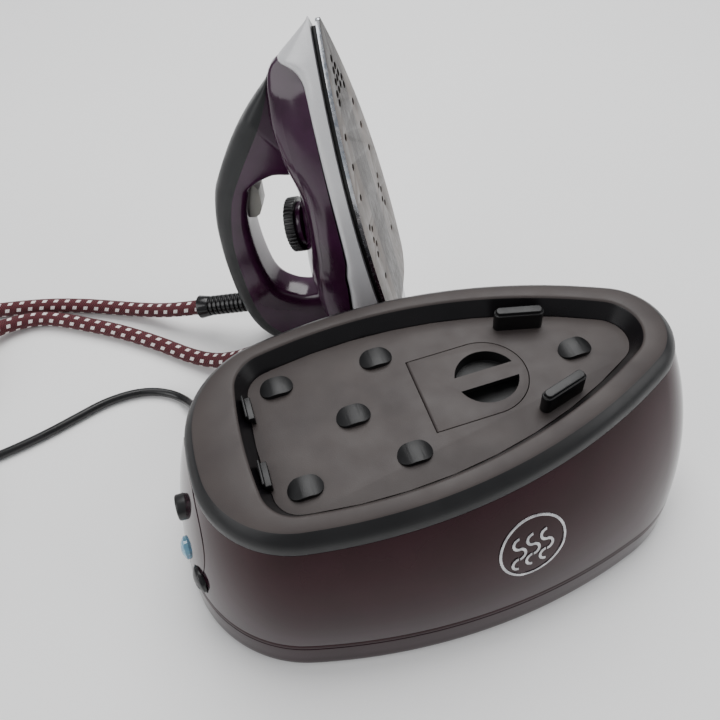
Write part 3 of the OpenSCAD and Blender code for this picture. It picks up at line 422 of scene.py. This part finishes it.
def swept_tube(name, route, radius, sides, material):
    """A round tube along the route, with U in millimetres along it and V around it."""
    path = [to_row(p) for p in route]
    bm = bmesh.new()
    layer = bm.loops.layers.uv.new("along")
    bmesh.ops.create_grid(bm, x_segments=sides, y_segments=len(path) - 1, size=1)
    bm.verts.ensure_lookup_table()
    rows = {}
    for vert in bm.verts:
        i = round((vert.co.x + 1) / 2 * sides)
        j = round((vert.co.y + 1) / 2 * (len(path) - 1))
        rows[vert.index] = (i, j)
    run = np.concatenate([[0], np.cumsum([(b - a).length for a, b in zip(path, path[1:])])]) / MM
    for face in bm.faces:
        for loop in face.loops:
            i, j = rows[loop.vert.index]
            loop[layer].uv = (run[j], i / sides * 2 * math.pi * radius)
    for vert in bm.verts:
        i, j = rows[vert.index]
        ahead = (path[min(j + 1, len(path) - 1)] - path[max(j - 1, 0)]).normalized()
        side = Vector((0, 0, 1)).cross(ahead).normalized()
        up = ahead.cross(side)
        a = 2 * math.pi * i / sides
        vert.co = path[j] + radius * MM * (side * math.cos(a) + up * math.sin(a))
    bmesh.ops.remove_doubles(bm, verts=bm.verts, dist=1e-6)
    ends = [e for e in bm.edges if e.is_boundary]
    bmesh.ops.holes_fill(bm, edges=ends, sides=0)
    bmesh.ops.recalc_face_normals(bm, faces=bm.faces)
    piece = add_mesh(name, bm, material, 60)
    return piece, path, float(run[-1]) * MM


hose, hose_path, hose_length = swept_tube("steam_hose_braided", hose_route, HOSE_RADIUS, 24, sleeve)
lead, lead_path, lead_length = swept_tube("mains_lead_cord", lead_route, LEAD_RADIUS, 16, cord_jacket)
print("hose", round(hose_length, 3), "m; lead", round(lead_length, 3), "m")


# %% [markdown]
# ## Softening a CAD piece
# Small moulded pieces keep their CAD shape but lose their knife edges. The CAD mesh is loose
# triangles, so a copy is merged, flat areas are dissolved back to single faces, and then the
# edges that turn sharply are bevelled.

# %% Softened copies
def soften(node, material, width_mm, body, sharp_deg=28, segments=3, name=None,
           second=None):
    """A bevelled copy of a CAD node; second(face) picks the faces that take the second material."""
    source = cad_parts[node]
    bm = bmesh.new()
    bm.from_mesh(source.data)
    bmesh.ops.remove_doubles(bm, verts=bm.verts, dist=2e-6)
    bmesh.ops.dissolve_limit(bm, angle_limit=math.radians(1.0), verts=bm.verts, edges=bm.edges)
    corners = [e for e in bm.edges if len(e.link_faces) == 2 and e.calc_face_angle(0) > math.radians(sharp_deg)]
    if width_mm:
        bmesh.ops.bevel(bm, geom=corners, offset=width_mm * MM, segments=segments, affect="EDGES",
                        profile=0.5, material=-1, clamp_overlap=True)
    if second:
        bm.normal_update()
        for face in bm.faces:
            face.material_index = 1 if second(face) else 0
    piece = add_mesh(name or node + "_soft", bm, material, 34)
    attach(piece, body)
    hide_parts(node)
    return piece


plug = soften("mains_plug", cord_jacket, 0.8, "base")
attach(hose, "base")
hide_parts("steam_hose", "hose_coil")
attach(lead, "base")
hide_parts("mains_lead", "lead_coil")

# %% [markdown]
# ## The base's outline
# Seen from above, the base is made of four arcs that run into each other: a nose, two long sides,
# two heel corners and the heel. A point on it is found from the direction in which it faces, which
# keeps points of two outlines lined up, so walls can be drawn between them.

# %% Outline of tangent arcs
class Outline:
    """Closed curve of tangent arcs, symmetric about the X axis."""

    def __init__(self, corner_r, corner_x, corner_y, nose_r, nose_x, side_r, heel_r):
        self.corner_r, self.corner, self.nose_r, self.nose_x = corner_r, (corner_x, corner_y), nose_r, nose_x
        self.side_r, self.heel_r = side_r, heel_r
        gap = math.hypot(nose_x - corner_x, corner_y)
        a, b = side_r - corner_r, side_r - nose_r
        along = (a * a - b * b + gap * gap) / (2 * gap)
        off = math.sqrt(a * a - along * along)
        ex, ey = (nose_x - corner_x) / gap, -corner_y / gap
        self.side = (corner_x + along * ex + off * ey, corner_y + along * ey - off * ex)
        self.heel_x = corner_x + math.sqrt((heel_r - corner_r) ** 2 - corner_y ** 2)
        self.turns = (math.atan2(-self.side[1], nose_x - self.side[0]),
                      math.atan2(corner_y - self.side[1], corner_x - self.side[0]),
                      math.atan2(corner_y, corner_x - self.heel_x))

    def point(self, facing, grow=0.0):
        """Point whose outside faces that way, in radians, on the outline grown by that much."""
        flip = -1 if facing > math.pi else 1
        th = 2 * math.pi - facing if flip < 0 else facing
        if th < self.turns[0]:
            centre, r = (self.nose_x, 0), self.nose_r
        elif th < self.turns[1]:
            centre, r = self.side, self.side_r
        elif th < self.turns[2]:
            centre, r = self.corner, self.corner_r
        else:
            centre, r = (self.heel_x, 0), self.heel_r
        return (centre[0] + (r + grow) * math.cos(th), flip * (centre[1] + (r + grow) * math.sin(th)))


RIM = Outline(64.5, -97.0, 11.3, 39.0, 123.4, 372, 171)
LOW = Outline(87.6, -96.3, 18.4, 102.3, 96.7, 453, 171)
WELL = Outline(25.0, -102.5, 38.6, 27.2, 118.3, 348, 319)
DECK_HEIGHT, DECK_TILT = 141.0, math.radians(4.4)
ROUND = 288                               # points around the base
SEAM_DROP, SEAM_OUT, PAN_TOP, BULGE = 14.9, 6.6, 30.5, 6.5
FACINGS = [2 * math.pi * i / ROUND for i in range(ROUND)]


def on_deck(u, v, w):
    """From the tilted deck's own directions to base millimetres."""
    return (u * math.cos(DECK_TILT) - w * math.sin(DECK_TILT), v,
            DECK_HEIGHT + u * math.sin(DECK_TILT) + w * math.cos(DECK_TILT))


def deck_ring(outline, grow, w):
    """Ring parallel to the deck, w above the rest plane."""
    return [on_deck(*outline.point(th, grow), w) for th in FACINGS]


def flat_ring(outline, grow, z):
    """Level ring at height z."""
    return [(*outline.point(th, grow), z) for th in FACINGS]


def shell_ring(t, grow):
    """Ring of the side shell, t from 0 at the deck joint to 1 at the pan joint."""
    ring = []
    for th in FACINGS:
        a, b = on_deck(*RIM.point(th, SEAM_OUT), -SEAM_DROP), (*LOW.point(th), PAN_TOP)
        out = BULGE * 4 * t * (1 - t) * (1 - 0.65 * max(0.0, -math.cos(th)) ** 2) + grow
        ring.append(tuple(p * (1 - t) + q * t + n * out for p, q, n in zip(a, b, (math.cos(th), math.sin(th), 0))))
    return ring


# %% [markdown]
# ## Skinning rings
# A grid is made by an operator, its rows are laid on a list of rings, and its seam is welded. The
# grid keeps the quads tidy, which the glossy housing needs: a reflection shows every kink.

# %% Skin through rings
def skin(rings, closed=False):
    """bmesh of a surface through rings of equal length; closed joins the last ring to the first."""
    rings = rings + [rings[0]] if closed else rings
    around, rows = len(rings[0]), len(rings) - 1
    bm = bmesh.new()
    bmesh.ops.create_grid(bm, x_segments=around, y_segments=rows, size=1)
    for vert in bm.verts:
        i = round((vert.co.x + 1) / 2 * around) % around
        j = round((vert.co.y + 1) / 2 * rows)
        vert.co = rings[j][i]
    bmesh.ops.remove_doubles(bm, verts=bm.verts, dist=1e-4)
    return bm


def close_up(bm):
    """Fills the open ends and turns all faces outwards."""
    ends = [e for e in bm.edges if e.is_boundary]
    if ends:
        bmesh.ops.holes_fill(bm, edges=ends, sides=0)
    bmesh.ops.recalc_face_normals(bm, faces=bm.faces)
    return bm


def dress(piece, body, slot, *nodes):
    """Rides its body and stands for its CAD nodes, in one go; slot is not used."""
    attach(piece, body)
    if nodes:
        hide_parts(*nodes)
    return piece


def cut(piece, tool, operation="DIFFERENCE"):
    """Carves a piece with a tool piece and deletes the tool."""
    knife = piece.modifiers.new("carve", "BOOLEAN")
    knife.operation, knife.object, knife.solver = operation, tool, "EXACT"
    shaped = bpy.data.meshes.new_from_object(piece.evaluated_get(bpy.context.evaluated_depsgraph_get()))
    piece.modifiers.clear()
    old, piece.data = piece.data, shaped
    bpy.data.meshes.remove(old)
    bpy.data.objects.remove(tool)
    return piece


def mark_sharp(piece, angle_deg):
    """Marks the edges that turn more than the angle as sharp, after carving."""
    bm = bmesh.new()
    bm.from_mesh(piece.data)
    for face in bm.faces:
        face.smooth = True
    for edge in bm.edges:
        edge.smooth = len(edge.link_faces) == 2 and edge.calc_face_angle(0) < math.radians(angle_deg)
    bm.to_mesh(piece.data)
    bm.free()


def round_tool(place, turn, radius, length, sides=160):
    """A cylinder for carving, centred on place in base millimetres and pointing along turn's Z."""
    bm = bmesh.new()
    bmesh.ops.create_cone(bm, cap_ends=True, segments=sides, radius1=radius, radius2=radius, depth=length)
    bmesh.ops.transform(bm, verts=bm.verts, matrix=Matrix.Translation(place) @ turn)
    return add_piece("tool", bm, black_nylon)


# %% [markdown]
# ## Base housing
# The side shell swells a little half way down. It is skinned between its two joints, outside and
# inside, and the round control panel is cut out of it at the heel. The panel itself is cut from a
# slightly thicker shell, so that it stands 0.4 mm proud and shows a fine seam.

# %% Side shell and control panel
PANEL_AT = Vector((-190, 0, 68))
ALONG_X = Matrix.Rotation(math.radians(90), 4, "Y")
PANEL_R, SHELL_WALL = 47.3, 2.6
STEPS = [k / 24 for k in range(25)]


def shell_band(name, outside, inside):
    """The shell's wall between two offsets."""
    rings = [shell_ring(t, outside) for t in STEPS] + [shell_ring(t, inside) for t in reversed(STEPS)]
    return add_piece(name, close_up(skin(rings, closed=True)), gloss_aubergine)


shell = shell_band("side_shell_gloss", 0, -SHELL_WALL)
cut(shell, round_tool(PANEL_AT, ALONG_X, PANEL_R + 0.35, 80))
CAP_AT, CAP_HOLE_R = Vector((-177.3, -43, 45.5)), 10.4
CAP_TURN = Matrix.Rotation(math.radians(12), 4, "Z") @ ALONG_X
cut(shell, round_tool(CAP_AT, CAP_TURN, CAP_HOLE_R, 60, 64))
GLAND_FACING = math.radians(101)
gland_at = Vector((*LOW.point(GLAND_FACING), 44))
GLAND_TURN = Matrix.Rotation(math.radians(11), 4, "Z") @ Matrix.Rotation(math.radians(-90), 4, "X")
cut(shell, round_tool(gland_at, GLAND_TURN, 9.2, 30, 48))
mark_sharp(shell, 30)
dress(shell, "base", "aubergine_gloss", "side_shell")

panel = shell_band("control_panel_gloss", 0.4, -2.2)
cut(panel, round_tool(PANEL_AT, ALONG_X, PANEL_R, 80), "INTERSECT")
POWER_AT, LAMP_AT = Vector((-182.5, -4, 77)), Vector((-188.8, -16, 42))
for at, hole_r in ((POWER_AT, 9.3), (LAMP_AT, 8.6)):
    cut(panel, round_tool(Vector((PANEL_AT.x, at.y, at.z)), ALONG_X, hole_r, 80, 64))
cut(panel, round_tool(CAP_AT, CAP_TURN, CAP_HOLE_R, 60, 64))
mark_sharp(panel, 30)
dress(panel, "base", "aubergine_gloss", "control_panel")
print("shell", len(shell.data.polygons), "faces; panel", len(panel.data.polygons))

# %% [markdown]
# The pan closes the base below the shell. Two fine grooves run round it, one at the joint and one
# just under it, and its lower edge is rounded so that light fades towards the table.

# %% Bottom pan
PAN = [(-3, 30.0), (-0.9, 30.0), (-0.5, 29.7), (0.1, 28.9), (0.45, 27.6), (0.62, 26.5), (-0.1, 26.2), (-0.1, 25.4),
       (0.8, 25.1), (1.2, 22), (1.8, 15), (2.3, 9), (2.75, 5.6), (2.7, 4.2), (2.0, 2.8), (0.6, 2.1), (-1, 2),
       (-4, 2), (-60, 2), (-60, 5), (-4, 5), (-1.9, 8)]
pan = add_piece("bottom_pan_gloss", close_up(skin([flat_ring(LOW, g, z) for g, z in PAN], closed=True)),
                gloss_aubergine)
dress(pan, "base", "aubergine_gloss", "bottom_pan")

# %% [markdown]
# The deck is one moulding with three finishes. The top of the rim is grained; its side band and the walls of the well
# are smoother, and their charcoal and black colours are painted shade, the deck's grey darkened where those faces
# turn away from the light above, so each face takes its finish from its ring.

# %% Top deck
DECK = [(RIM, 3.6, -14.6), (RIM, 3.4, -9), (RIM, -3, -6), (WELL, 2.5, -5), (WELL, -4.5, -17), (WELL, -6.5, -17),
        (WELL, -6.5, -13.2), (WELL, -6.0, -12.4), (WELL, -0.4, -2.0), (WELL, 0, -1.3), (WELL, 0.5, -0.7),
        (WELL, 1.3, -0.2), (WELL, 2.4, 0), (RIM, -2.6, -0.8), (RIM, -1.2, -1.4), (RIM, 0, -2.3), (RIM, 1.0, -3.2),
        (RIM, 3, -5), (RIM, 5.2, -8), (RIM, 6.2, -10.6), (RIM, 6.6, -14.4), (RIM, 6.4, -14.6)]
FIRST_WALL, LAST_WALL, FIRST_BAND = 6, 8, 14
bm = skin([deck_ring(o, g, w) for o, g, w in DECK], closed=True)
bm.faces.ensure_lookup_table()
rows = len(DECK)
around = len(FACINGS)
for k, face in enumerate(bm.faces):
    row = k // around
    # Well-wall rows and side-band rows take the darker finishes: painted shade on faces that turn away from the
    # light, with a smoother finish than the grained top.
    face.material_index = 2 if FIRST_WALL <= row <= LAST_WALL else 1 if row >= FIRST_BAND else 0
deck = add_piece("top_deck_rim", close_up(bm), [deck_grain, rim_band_painted_shade, deck_wall_painted_shade], 34)
dress(deck, "base", "deck_grey", "top_deck")
print("deck rows", rows)

# %% [markdown]
# The fittings on the deck keep their CAD shape, softened at the edges.

# %% Deck fittings
soften("rest_plate", deck_grain, 0.4, "base")


def in_recess(face):
    """True for the faces of the lid's finger recess."""
    for vert in face.verts:
        p = vert.co / MM + ORIGIN
        u = p.x * math.cos(DECK_TILT) + (p.z - DECK_HEIGHT) * math.sin(DECK_TILT)
        if math.hypot(u - 36.5, p.y) > 21.6:
            return False
    return True


soften("filler_lid", [deck_grain, pad_rubber], 0.45, "lid", second=in_recess)
soften("rest_pads", pad_rubber, 0.7, "base")
soften("rest_guides", pad_rubber, 2.2, "base", segments=5)
soften("heel_hooks", pad_rubber, 0.5, "base")
soften("badge_ring", plated, 0.15, "base")
soften("rubber_feet", pad_rubber, 0.3, "base")
soften("hose_gland", pad_rubber, 0.35, "base")
soften("mains_gland", pad_rubber, 0.35, "base")

# %% [markdown]
# The button, the lamp and the rinse cap are round, so each is turned from a profile of
# (radius, depth) points.

# %% Turned pieces
def turned(name, profile, place, turn, material, sides=96):
    """A piece turned about its own Z axis."""
    at = Matrix.Translation(place) @ turn
    rings = [[tuple(at @ Vector((r * math.cos(2 * math.pi * k / sides), r * math.sin(2 * math.pi * k / sides), z)))
              for k in range(sides)] for r, z in profile]
    return add_piece(name, close_up(skin(rings)), material, 40)


def dome(edge_r, ball_r, centre, steps=10):
    """Profile of a ball's cap out to edge_r, with the ball's middle at that depth."""
    return [(r, centre - math.sqrt(ball_r ** 2 - r * r)) for r in (edge_r * k / steps for k in range(steps + 1))]


BUTTON = [(0, 0.3), (4, 0.2), (7.2, 0), (8.2, 0.2), (8.75, 0.7), (9, 1.5), (9, 10), (3, 10), (3, 16), (0, 16)]
button = turned("power_button_turned", BUTTON, POWER_AT, ALONG_X, black_nylon)
dress(button, "power", "black_plastic", "power_button")
lamp = turned("lamp_lens_turned", dome(8.4, 12, 12) + [(8.4, 12.9), (0, 12.9)], LAMP_AT, ALONG_X, lamp_blue)
dress(lamp, "base", "lamp_blue", "lamp_lens")
CAP_STEM = [(9.5, -1.9), (9.5, -0.1), (6.9, -0.1), (6.9, 13.7), (0, 13.7)]
cap = turned("rinse_cap_turned", dome(9.3, 15.5, 10) + CAP_STEM, CAP_AT, CAP_TURN, black_nylon)
bm = bmesh.new()
bmesh.ops.create_cube(bm, size=1, matrix=Matrix.Translation(CAP_AT) @ CAP_TURN @ Matrix.Translation((0, 0, -6))
                      @ Matrix.Diagonal((2.4, 24, 4, 1)))
bmesh.ops.recalc_face_normals(bm, faces=bm.faces)
cut(cap, add_piece("tool", bm, black_nylon))
mark_sharp(cap, 36)
dress(cap, "rinse", "black_plastic", "rinse_cap")

# %% [markdown]
# ## The iron
# The iron is drawn lying flat, with s the distance from its nose and h the height over the sole,
# and then stood on its heel by one matrix. All points stay on the handle's side of the plane it
# stands on.

# %% The iron's own frame
HEEL_AT_SOLE, HEEL_SLOPE = 312.1, math.tan(IRON_LEAN)


def on_iron(s, y, h):
    """From the flat iron to base millimetres, kept above the table."""
    s = min(s, HEEL_AT_SOLE - HEEL_SLOPE * h)
    return tuple(STAND @ Vector((-s, y, h)))


def half_width(s, inset=0.0):
    """Half width of the housing at s, seen from above."""
    side = math.sqrt(max(0.0, (337 - inset) ** 2 - (s - 181) ** 2)) - (337 - 52.7)
    if s > 280:
        side = min(side, 12 + math.sqrt(max(0.0, (29 - inset) ** 2 - min(29 - inset, s - 280) ** 2)))
    return max(side, 0.05)


def through(points, s):
    """Height at s of a smooth line through (s, height) points."""
    xs = [p[0] for p in points]
    k = max(0, min(len(points) - 2, int(np.searchsorted(xs, s)) - 1))
    (x0, y0), (x1, y1) = points[k], points[k + 1]
    left = (y1 - points[k - 1][1]) / (x1 - points[k - 1][0]) if k else (y1 - y0) / (x1 - x0)
    right = ((points[k + 2][1] - y0) / (points[k + 2][0] - x0)) if k + 2 < len(points) else (y1 - y0) / (x1 - x0)
    t = min(1.0, max(0.0, (s - x0) / (x1 - x0)))
    span = x1 - x0
    return ((2 * t ** 3 - 3 * t * t + 1) * y0 + (t ** 3 - 2 * t * t + t) * span * left
            + (3 * t * t - 2 * t ** 3) * y1 + (t ** 3 - t * t) * span * right)


# %% [markdown]
# The silver skirt wraps the foot of the housing and rises into a beak at the nose. Its sections
# are upright walls with a rounded top, and near the nose they close into a rounded keel.

# %% Silver skirt
SKIRT_TOP = [(0, 7.2), (3, 10), (8, 17), (14, 25.5), (20, 34.0), (22.5, 34.6), (25, 31), (28, 26.3), (33, 21.8),
             (40, 19.4), (55, 19.3), (90, 19.9), (130, 20.9), (165, 23.2), (178, 27), (190, 28.4), (215, 33),
             (250, 40), (285, 43.6), (312, 45.8)]
SKIRT_FOOT = 6.9


def skirt_section(s, count=28):
    """Closed section of the skirt: foot, wall and rounded top."""
    top, w = through(SKIRT_TOP, s), half_width(s)
    keel = min(1.0, max(0.0, (s - 18) / 24))
    ring = []
    for k in range(count + 1):
        a = math.pi * k / count
        c, q = math.cos(a), math.sin(a)
        power = 0.95 - 0.75 * keel
        y = w * math.copysign(abs(c) ** power, c)
        y *= 1 - 0.03 * q
        h = SKIRT_FOOT + (top - SKIRT_FOOT) * abs(q) ** (0.85 - 0.5 * keel)
        ring.append((s, y, h))
    for k in range(1, 6):
        ring.append((s, -w + 2 * w * k / 6, SKIRT_FOOT))
    return [on_iron(*p) for p in ring]


stations = [0.3, 1, 2, 3.5, 5, 7, 9, 11, 13, 15, 17, 19, 20.5, 22, 23.5, 25, 27, 29, 31, 34, 37, 41, 46]
stations += list(range(52, 312, 6)) + [312]
skirt = add_piece("silver_skirt_shell", close_up(skin([skirt_section(s) for s in stations])), silver, 42)
dress(skirt, "iron", "silver_paint", "silver_skirt")


# %% [markdown]
# The aubergine housing sits in the skirt. Its flank runs up to a crease, above which the surface
# hollows towards the narrow crown that carries the handle. Each section is a smooth line through a
# few points, with the crease kept crisp by two points close together.

# %% Housing
CROWN = [(21, 34.4), (24, 40), (30, 44.9), (45, 49.0), (60, 51.8), (88, 50.8), (112, 49.8), (130, 53.8),
         (160, 60.3), (190, 66.8), (222, 69.8), (262, 64.8), (290, 53), (312, 41)]
HOUSE_FOOT = [(21, 33.6), (24, 31.5), (28, 25.3), (33, 20.8), (40, 18.6), (55, 18.5), (90, 19.1), (130, 20.1),
              (165, 22.4), (178, 26.2), (190, 27.6), (215, 32.2), (250, 39.2), (312, 40)]


def housing_section(s):
    """Closed section of the housing over the skirt."""
    foot, crown, w = through(HOUSE_FOOT, s), through(CROWN, s), half_width(s, 3)
    rise = max(1.5, crown - foot)
    narrow = min(1.0, max(0.0, (s - 85) / 45))
    w *= 0.45 + 0.55 * min(1.0, max(0.0, (s - 21) / 16))
    shape = [(1.0, 0.0), (0.985, 0.2), (0.93, 0.42), (0.86, 0.56), (0.845, 0.585), (0.70, 0.72), (0.5, 0.84),
             (0.28, 0.95), (0.0, 1.0)]
    round_shape = [(1.0, 0.0), (0.985, 0.2), (0.95, 0.42), (0.89, 0.62), (0.875, 0.66), (0.8, 0.82), (0.68, 0.93),
                   (0.45, 0.985), (0.0, 1.0)]
    half = [((a[0] * narrow + b[0] * (1 - narrow)) * w, foot + (a[1] * narrow + b[1] * (1 - narrow)) * rise)
            for a, b in zip(shape, round_shape)]
    line = [(y, h) for y, h in half] + [(-y, h) for y, h in reversed(half[:-1])]
    fine = smooth_route([(y, h, 0) for y, h in line], 3)
    ring = [(s, p[0], p[1]) for p in fine]
    for k in range(1, 6):
        ring.append((s, -w + 2 * w * k / 6, foot))
    return [on_iron(*p) for p in ring]


stations = [21.3, 22.5, 24, 26, 28, 31, 34, 38, 43, 49] + list(range(55, 313, 5))
housing = add_piece("iron_housing_gloss", close_up(skin([housing_section(s) for s in stations])), gloss_iron, 42)
DIAL_S = 158
for radius, low in ((18.6, 58.0), (23.0, 62.2)):
    place = STAND @ Vector((-DIAL_S, 0, low + 20))
    cut(housing, round_tool(place, STAND.to_3x3().to_4x4(), radius, 40, 96))
mark_sharp(housing, 36)
dress(housing, "iron", "aubergine_gloss", "body_shell")

# %% [markdown]
# ## Handle
# The handle is two mouldings that meet along one line seen from the side: the aubergine frame
# inside and the dark grip outside. Both are D-shaped in section, with their flat sides together,
# so one function sweeps them: it takes the joint line and the crest line.

# %% Handle frame and grip
HANDLE_HALF_WIDTH = 16.0
JOINT = [(33.5, 45.6), (43, 49.8), (52, 54.8), (62, 61.7), (76, 73.1), (91.6, 85.8), (110, 99.6), (121, 106.1),
         (139, 113.7), (158, 119.9), (181, 124.1), (207, 127.1), (228, 128.1), (246, 126.6), (258, 121.7),
         (268, 113.1), (273, 100.1)]
GRIP_CREST = [(30.5, 45.3), (36, 50.3), (44, 60), (52.5, 70), (65, 83), (80, 96.3), (99, 110.8), (110.5, 118.2),
              (132, 127), (153, 132.8), (178, 137.8), (205, 141.2), (229, 142.4), (249, 141), (265, 136),
              (277.5, 126), (283.5, 108.5)]
FRAME_JOINT = JOINT + [(284, 78), (293, 56)]
FRAME_CREST = [(52, 40), (64, 41), (80, 42), (97, 43), (104, 50), (101.5, 64), (107, 83.5), (115, 89.5), (134, 98),
               (156, 103), (180, 105.6), (203, 105.3), (215, 100.8), (222.5, 92), (226, 82), (226, 72), (224, 63),
               (222.5, 58), (232, 50)]


def profile_line(points, steps):
    """Smooth side line through (s, h) points."""
    return [(p[0], p[1]) for p in smooth_route([(s, h, 0) for s, h in points], steps)]


def d_sweep(name, joint, crest, material, square, steps=6, count=20):
    """Solid between a flat joint line and a rounded crest line."""
    rings = []
    for (s0, h0), (s1, h1) in zip(profile_line(joint, steps), profile_line(crest, steps)):
        w = min(HANDLE_HALF_WIDTH, max(3.0, 3.0 + (s0 - 26) * 0.36))
        ring = []
        for k in range(count + 1):
            a = math.pi * k / count
            c, q = math.cos(a), math.sin(a)
            y, depth = w * math.copysign(abs(c) ** square, c), q ** square
            ring.append(on_iron(s0 + (s1 - s0) * depth, y, h0 + (h1 - h0) * depth))
        for k in range(1, 6):
            ring.append(on_iron(s0, -w + 2 * w * k / 6, h0))
        rings.append(ring)
    return add_piece(name, close_up(skin(rings)), material, 50)


grip = d_sweep("handle_grip_soft", JOINT, GRIP_CREST, soft_touch, 0.62)
dress(grip, "iron", "soft_black", "handle_cover")
handle = d_sweep("handle_frame_gloss", FRAME_JOINT, FRAME_CREST, gloss_iron, 0.3)


def box_tool(low, high):
    """A box for carving the iron, between two corners given as (s, y, h)."""
    bm = bmesh.new()
    bmesh.ops.create_cube(bm, size=1)
    for vert in bm.verts:
        at = [low[i] if vert.co[i] < 0 else high[i] for i in range(3)]
        vert.co = STAND @ Vector((-at[0], at[1], at[2]))
    bmesh.ops.recalc_face_normals(bm, faces=bm.faces)
    return add_piece("tool", bm, black_nylon)


cut(handle, box_tool((108.6, -7.2, 78), (143.4, 7.2, 108)))
mark_sharp(handle, 40)
dress(handle, "iron", "aubergine_gloss", "handle_frame")
print("handle", len(handle.data.polygons), "faces; grip", len(grip.data.polygons))

# %% [markdown]
# The smaller pieces of the iron keep their CAD shapes too.

# %% Iron fittings
LIE_FLAT = STAND.inverted()
sole_axis = STAND.col[2].to_3d()


def on_rim(face):
    """True for the soleplate's outer edge, not for the walls of its steam holes."""
    if abs(face.normal.dot(sole_axis)) > 0.6:
        return False
    p = LIE_FLAT @ (face.calc_center_median() / MM + ORIGIN)
    return abs(p.y) > half_width(-p.x) - 5 or -p.x < 8 or -p.x > 235


soften("soleplate", [sole, sole_edge], 0.5, "iron", second=on_rim)
soften("heat_shield", black_nylon, 0.3, "iron")
soften("sole_heater", dark_cast, 0.0, "iron")
soften("steam_trigger", trigger_grey, 0.9, "trigger", segments=4)
soften("dial_ring", black_nylon, 0.25, "dial", sharp_deg=50)
soften("dial_collar", gloss_iron, 0.5, "dial")
soften("strain_relief", ribbed_black, 0.4, "iron")
soften("heel_rest", pad_rubber, 0.3, "iron")

# %% [markdown]
# ## Pieces inside
# The CAD nodes that stay are mostly hidden, but an open lid or a lifted iron shows some of them, so
# each takes a finish of its own kind.

# %% Finishes for the inner CAD nodes
INNER = {
    plated: ["lid_pin", "base_screws", "boiler", "chamber_cover", "trigger_pin", "trigger_spring", "dial_shaft",
             "iron_screws", "boiler_element", "heating_element", "steam_valve"],
    inner_plastic: ["filler_cup", "feed_pump", "boiler_saddles", "control_board", "iron_thermostat", "iron_fuse",
                    "thermal_cutout", "water_tank", "microswitch"],
    pad_rubber: ["lid_seal", "feed_tubes", "steam_pipe", "steam_inlet"],
}
for material, names in INNER.items():
    for node in names:
        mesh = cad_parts[node].data
        mesh.materials.clear()
        mesh.materials.append(material)
print("inner nodes dressed")

# %% [markdown]
# ## Floor and light
# A pale flat floor, one large soft light over the table and two weaker ones beside it.

# %% Floor and lights
def studio_floor():
    """A wide plain floor."""
    bm = bmesh.new()
    bmesh.ops.create_grid(bm, x_segments=2, y_segments=2, size=6)
    material, tree, shader, place = finish_named("pale_studio_floor")
    colour = ramp(tree, noise(tree, place, 240), [(0.3, "f6f6f5"), (0.7, "f8f8f7")])
    tree.links.new(colour, shader.inputs["Base Color"])
    shader.inputs["Roughness"].default_value = 0.42
    floor = add_mesh("floor", bm, material)
    floor.location.z = -0.0004


def soft_light(name, place, aim, size, power, colour=(1, 1, 1)):
    """A square area light that looks at a point."""
    data = bpy.data.lights.new(name, "AREA")
    data.shape, data.size, data.energy, data.color = "SQUARE", size, power, colour
    light = bpy.data.objects.new(name, data)
    light.matrix_world = (Matrix.Translation(place)
                          @ (Vector(place) - Vector(aim)).to_track_quat("Z", "Y").to_matrix().to_4x4())
    bpy.context.scene.collection.objects.link(light)


studio_floor()
soft_light("overhead", (0.3, 0.9, 1.9), (0, 0, 0.1), 1.7, 50)
soft_light("left_fill", (-1.8, -0.4, 1.2), (0, 0, 0.1), 1.4, 16)
soft_light("right_fill", (1.7, -0.9, 1.1), (0, 0, 0.1), 1.2, 12)
world = bpy.data.worlds.new("studio")
world.use_nodes = True
world.node_tree.nodes["Background"].inputs["Color"].default_value = (0.95, 0.96, 1.0, 1)
world.node_tree.nodes["Background"].inputs["Strength"].default_value = 0.42
bpy.context.scene.world = world
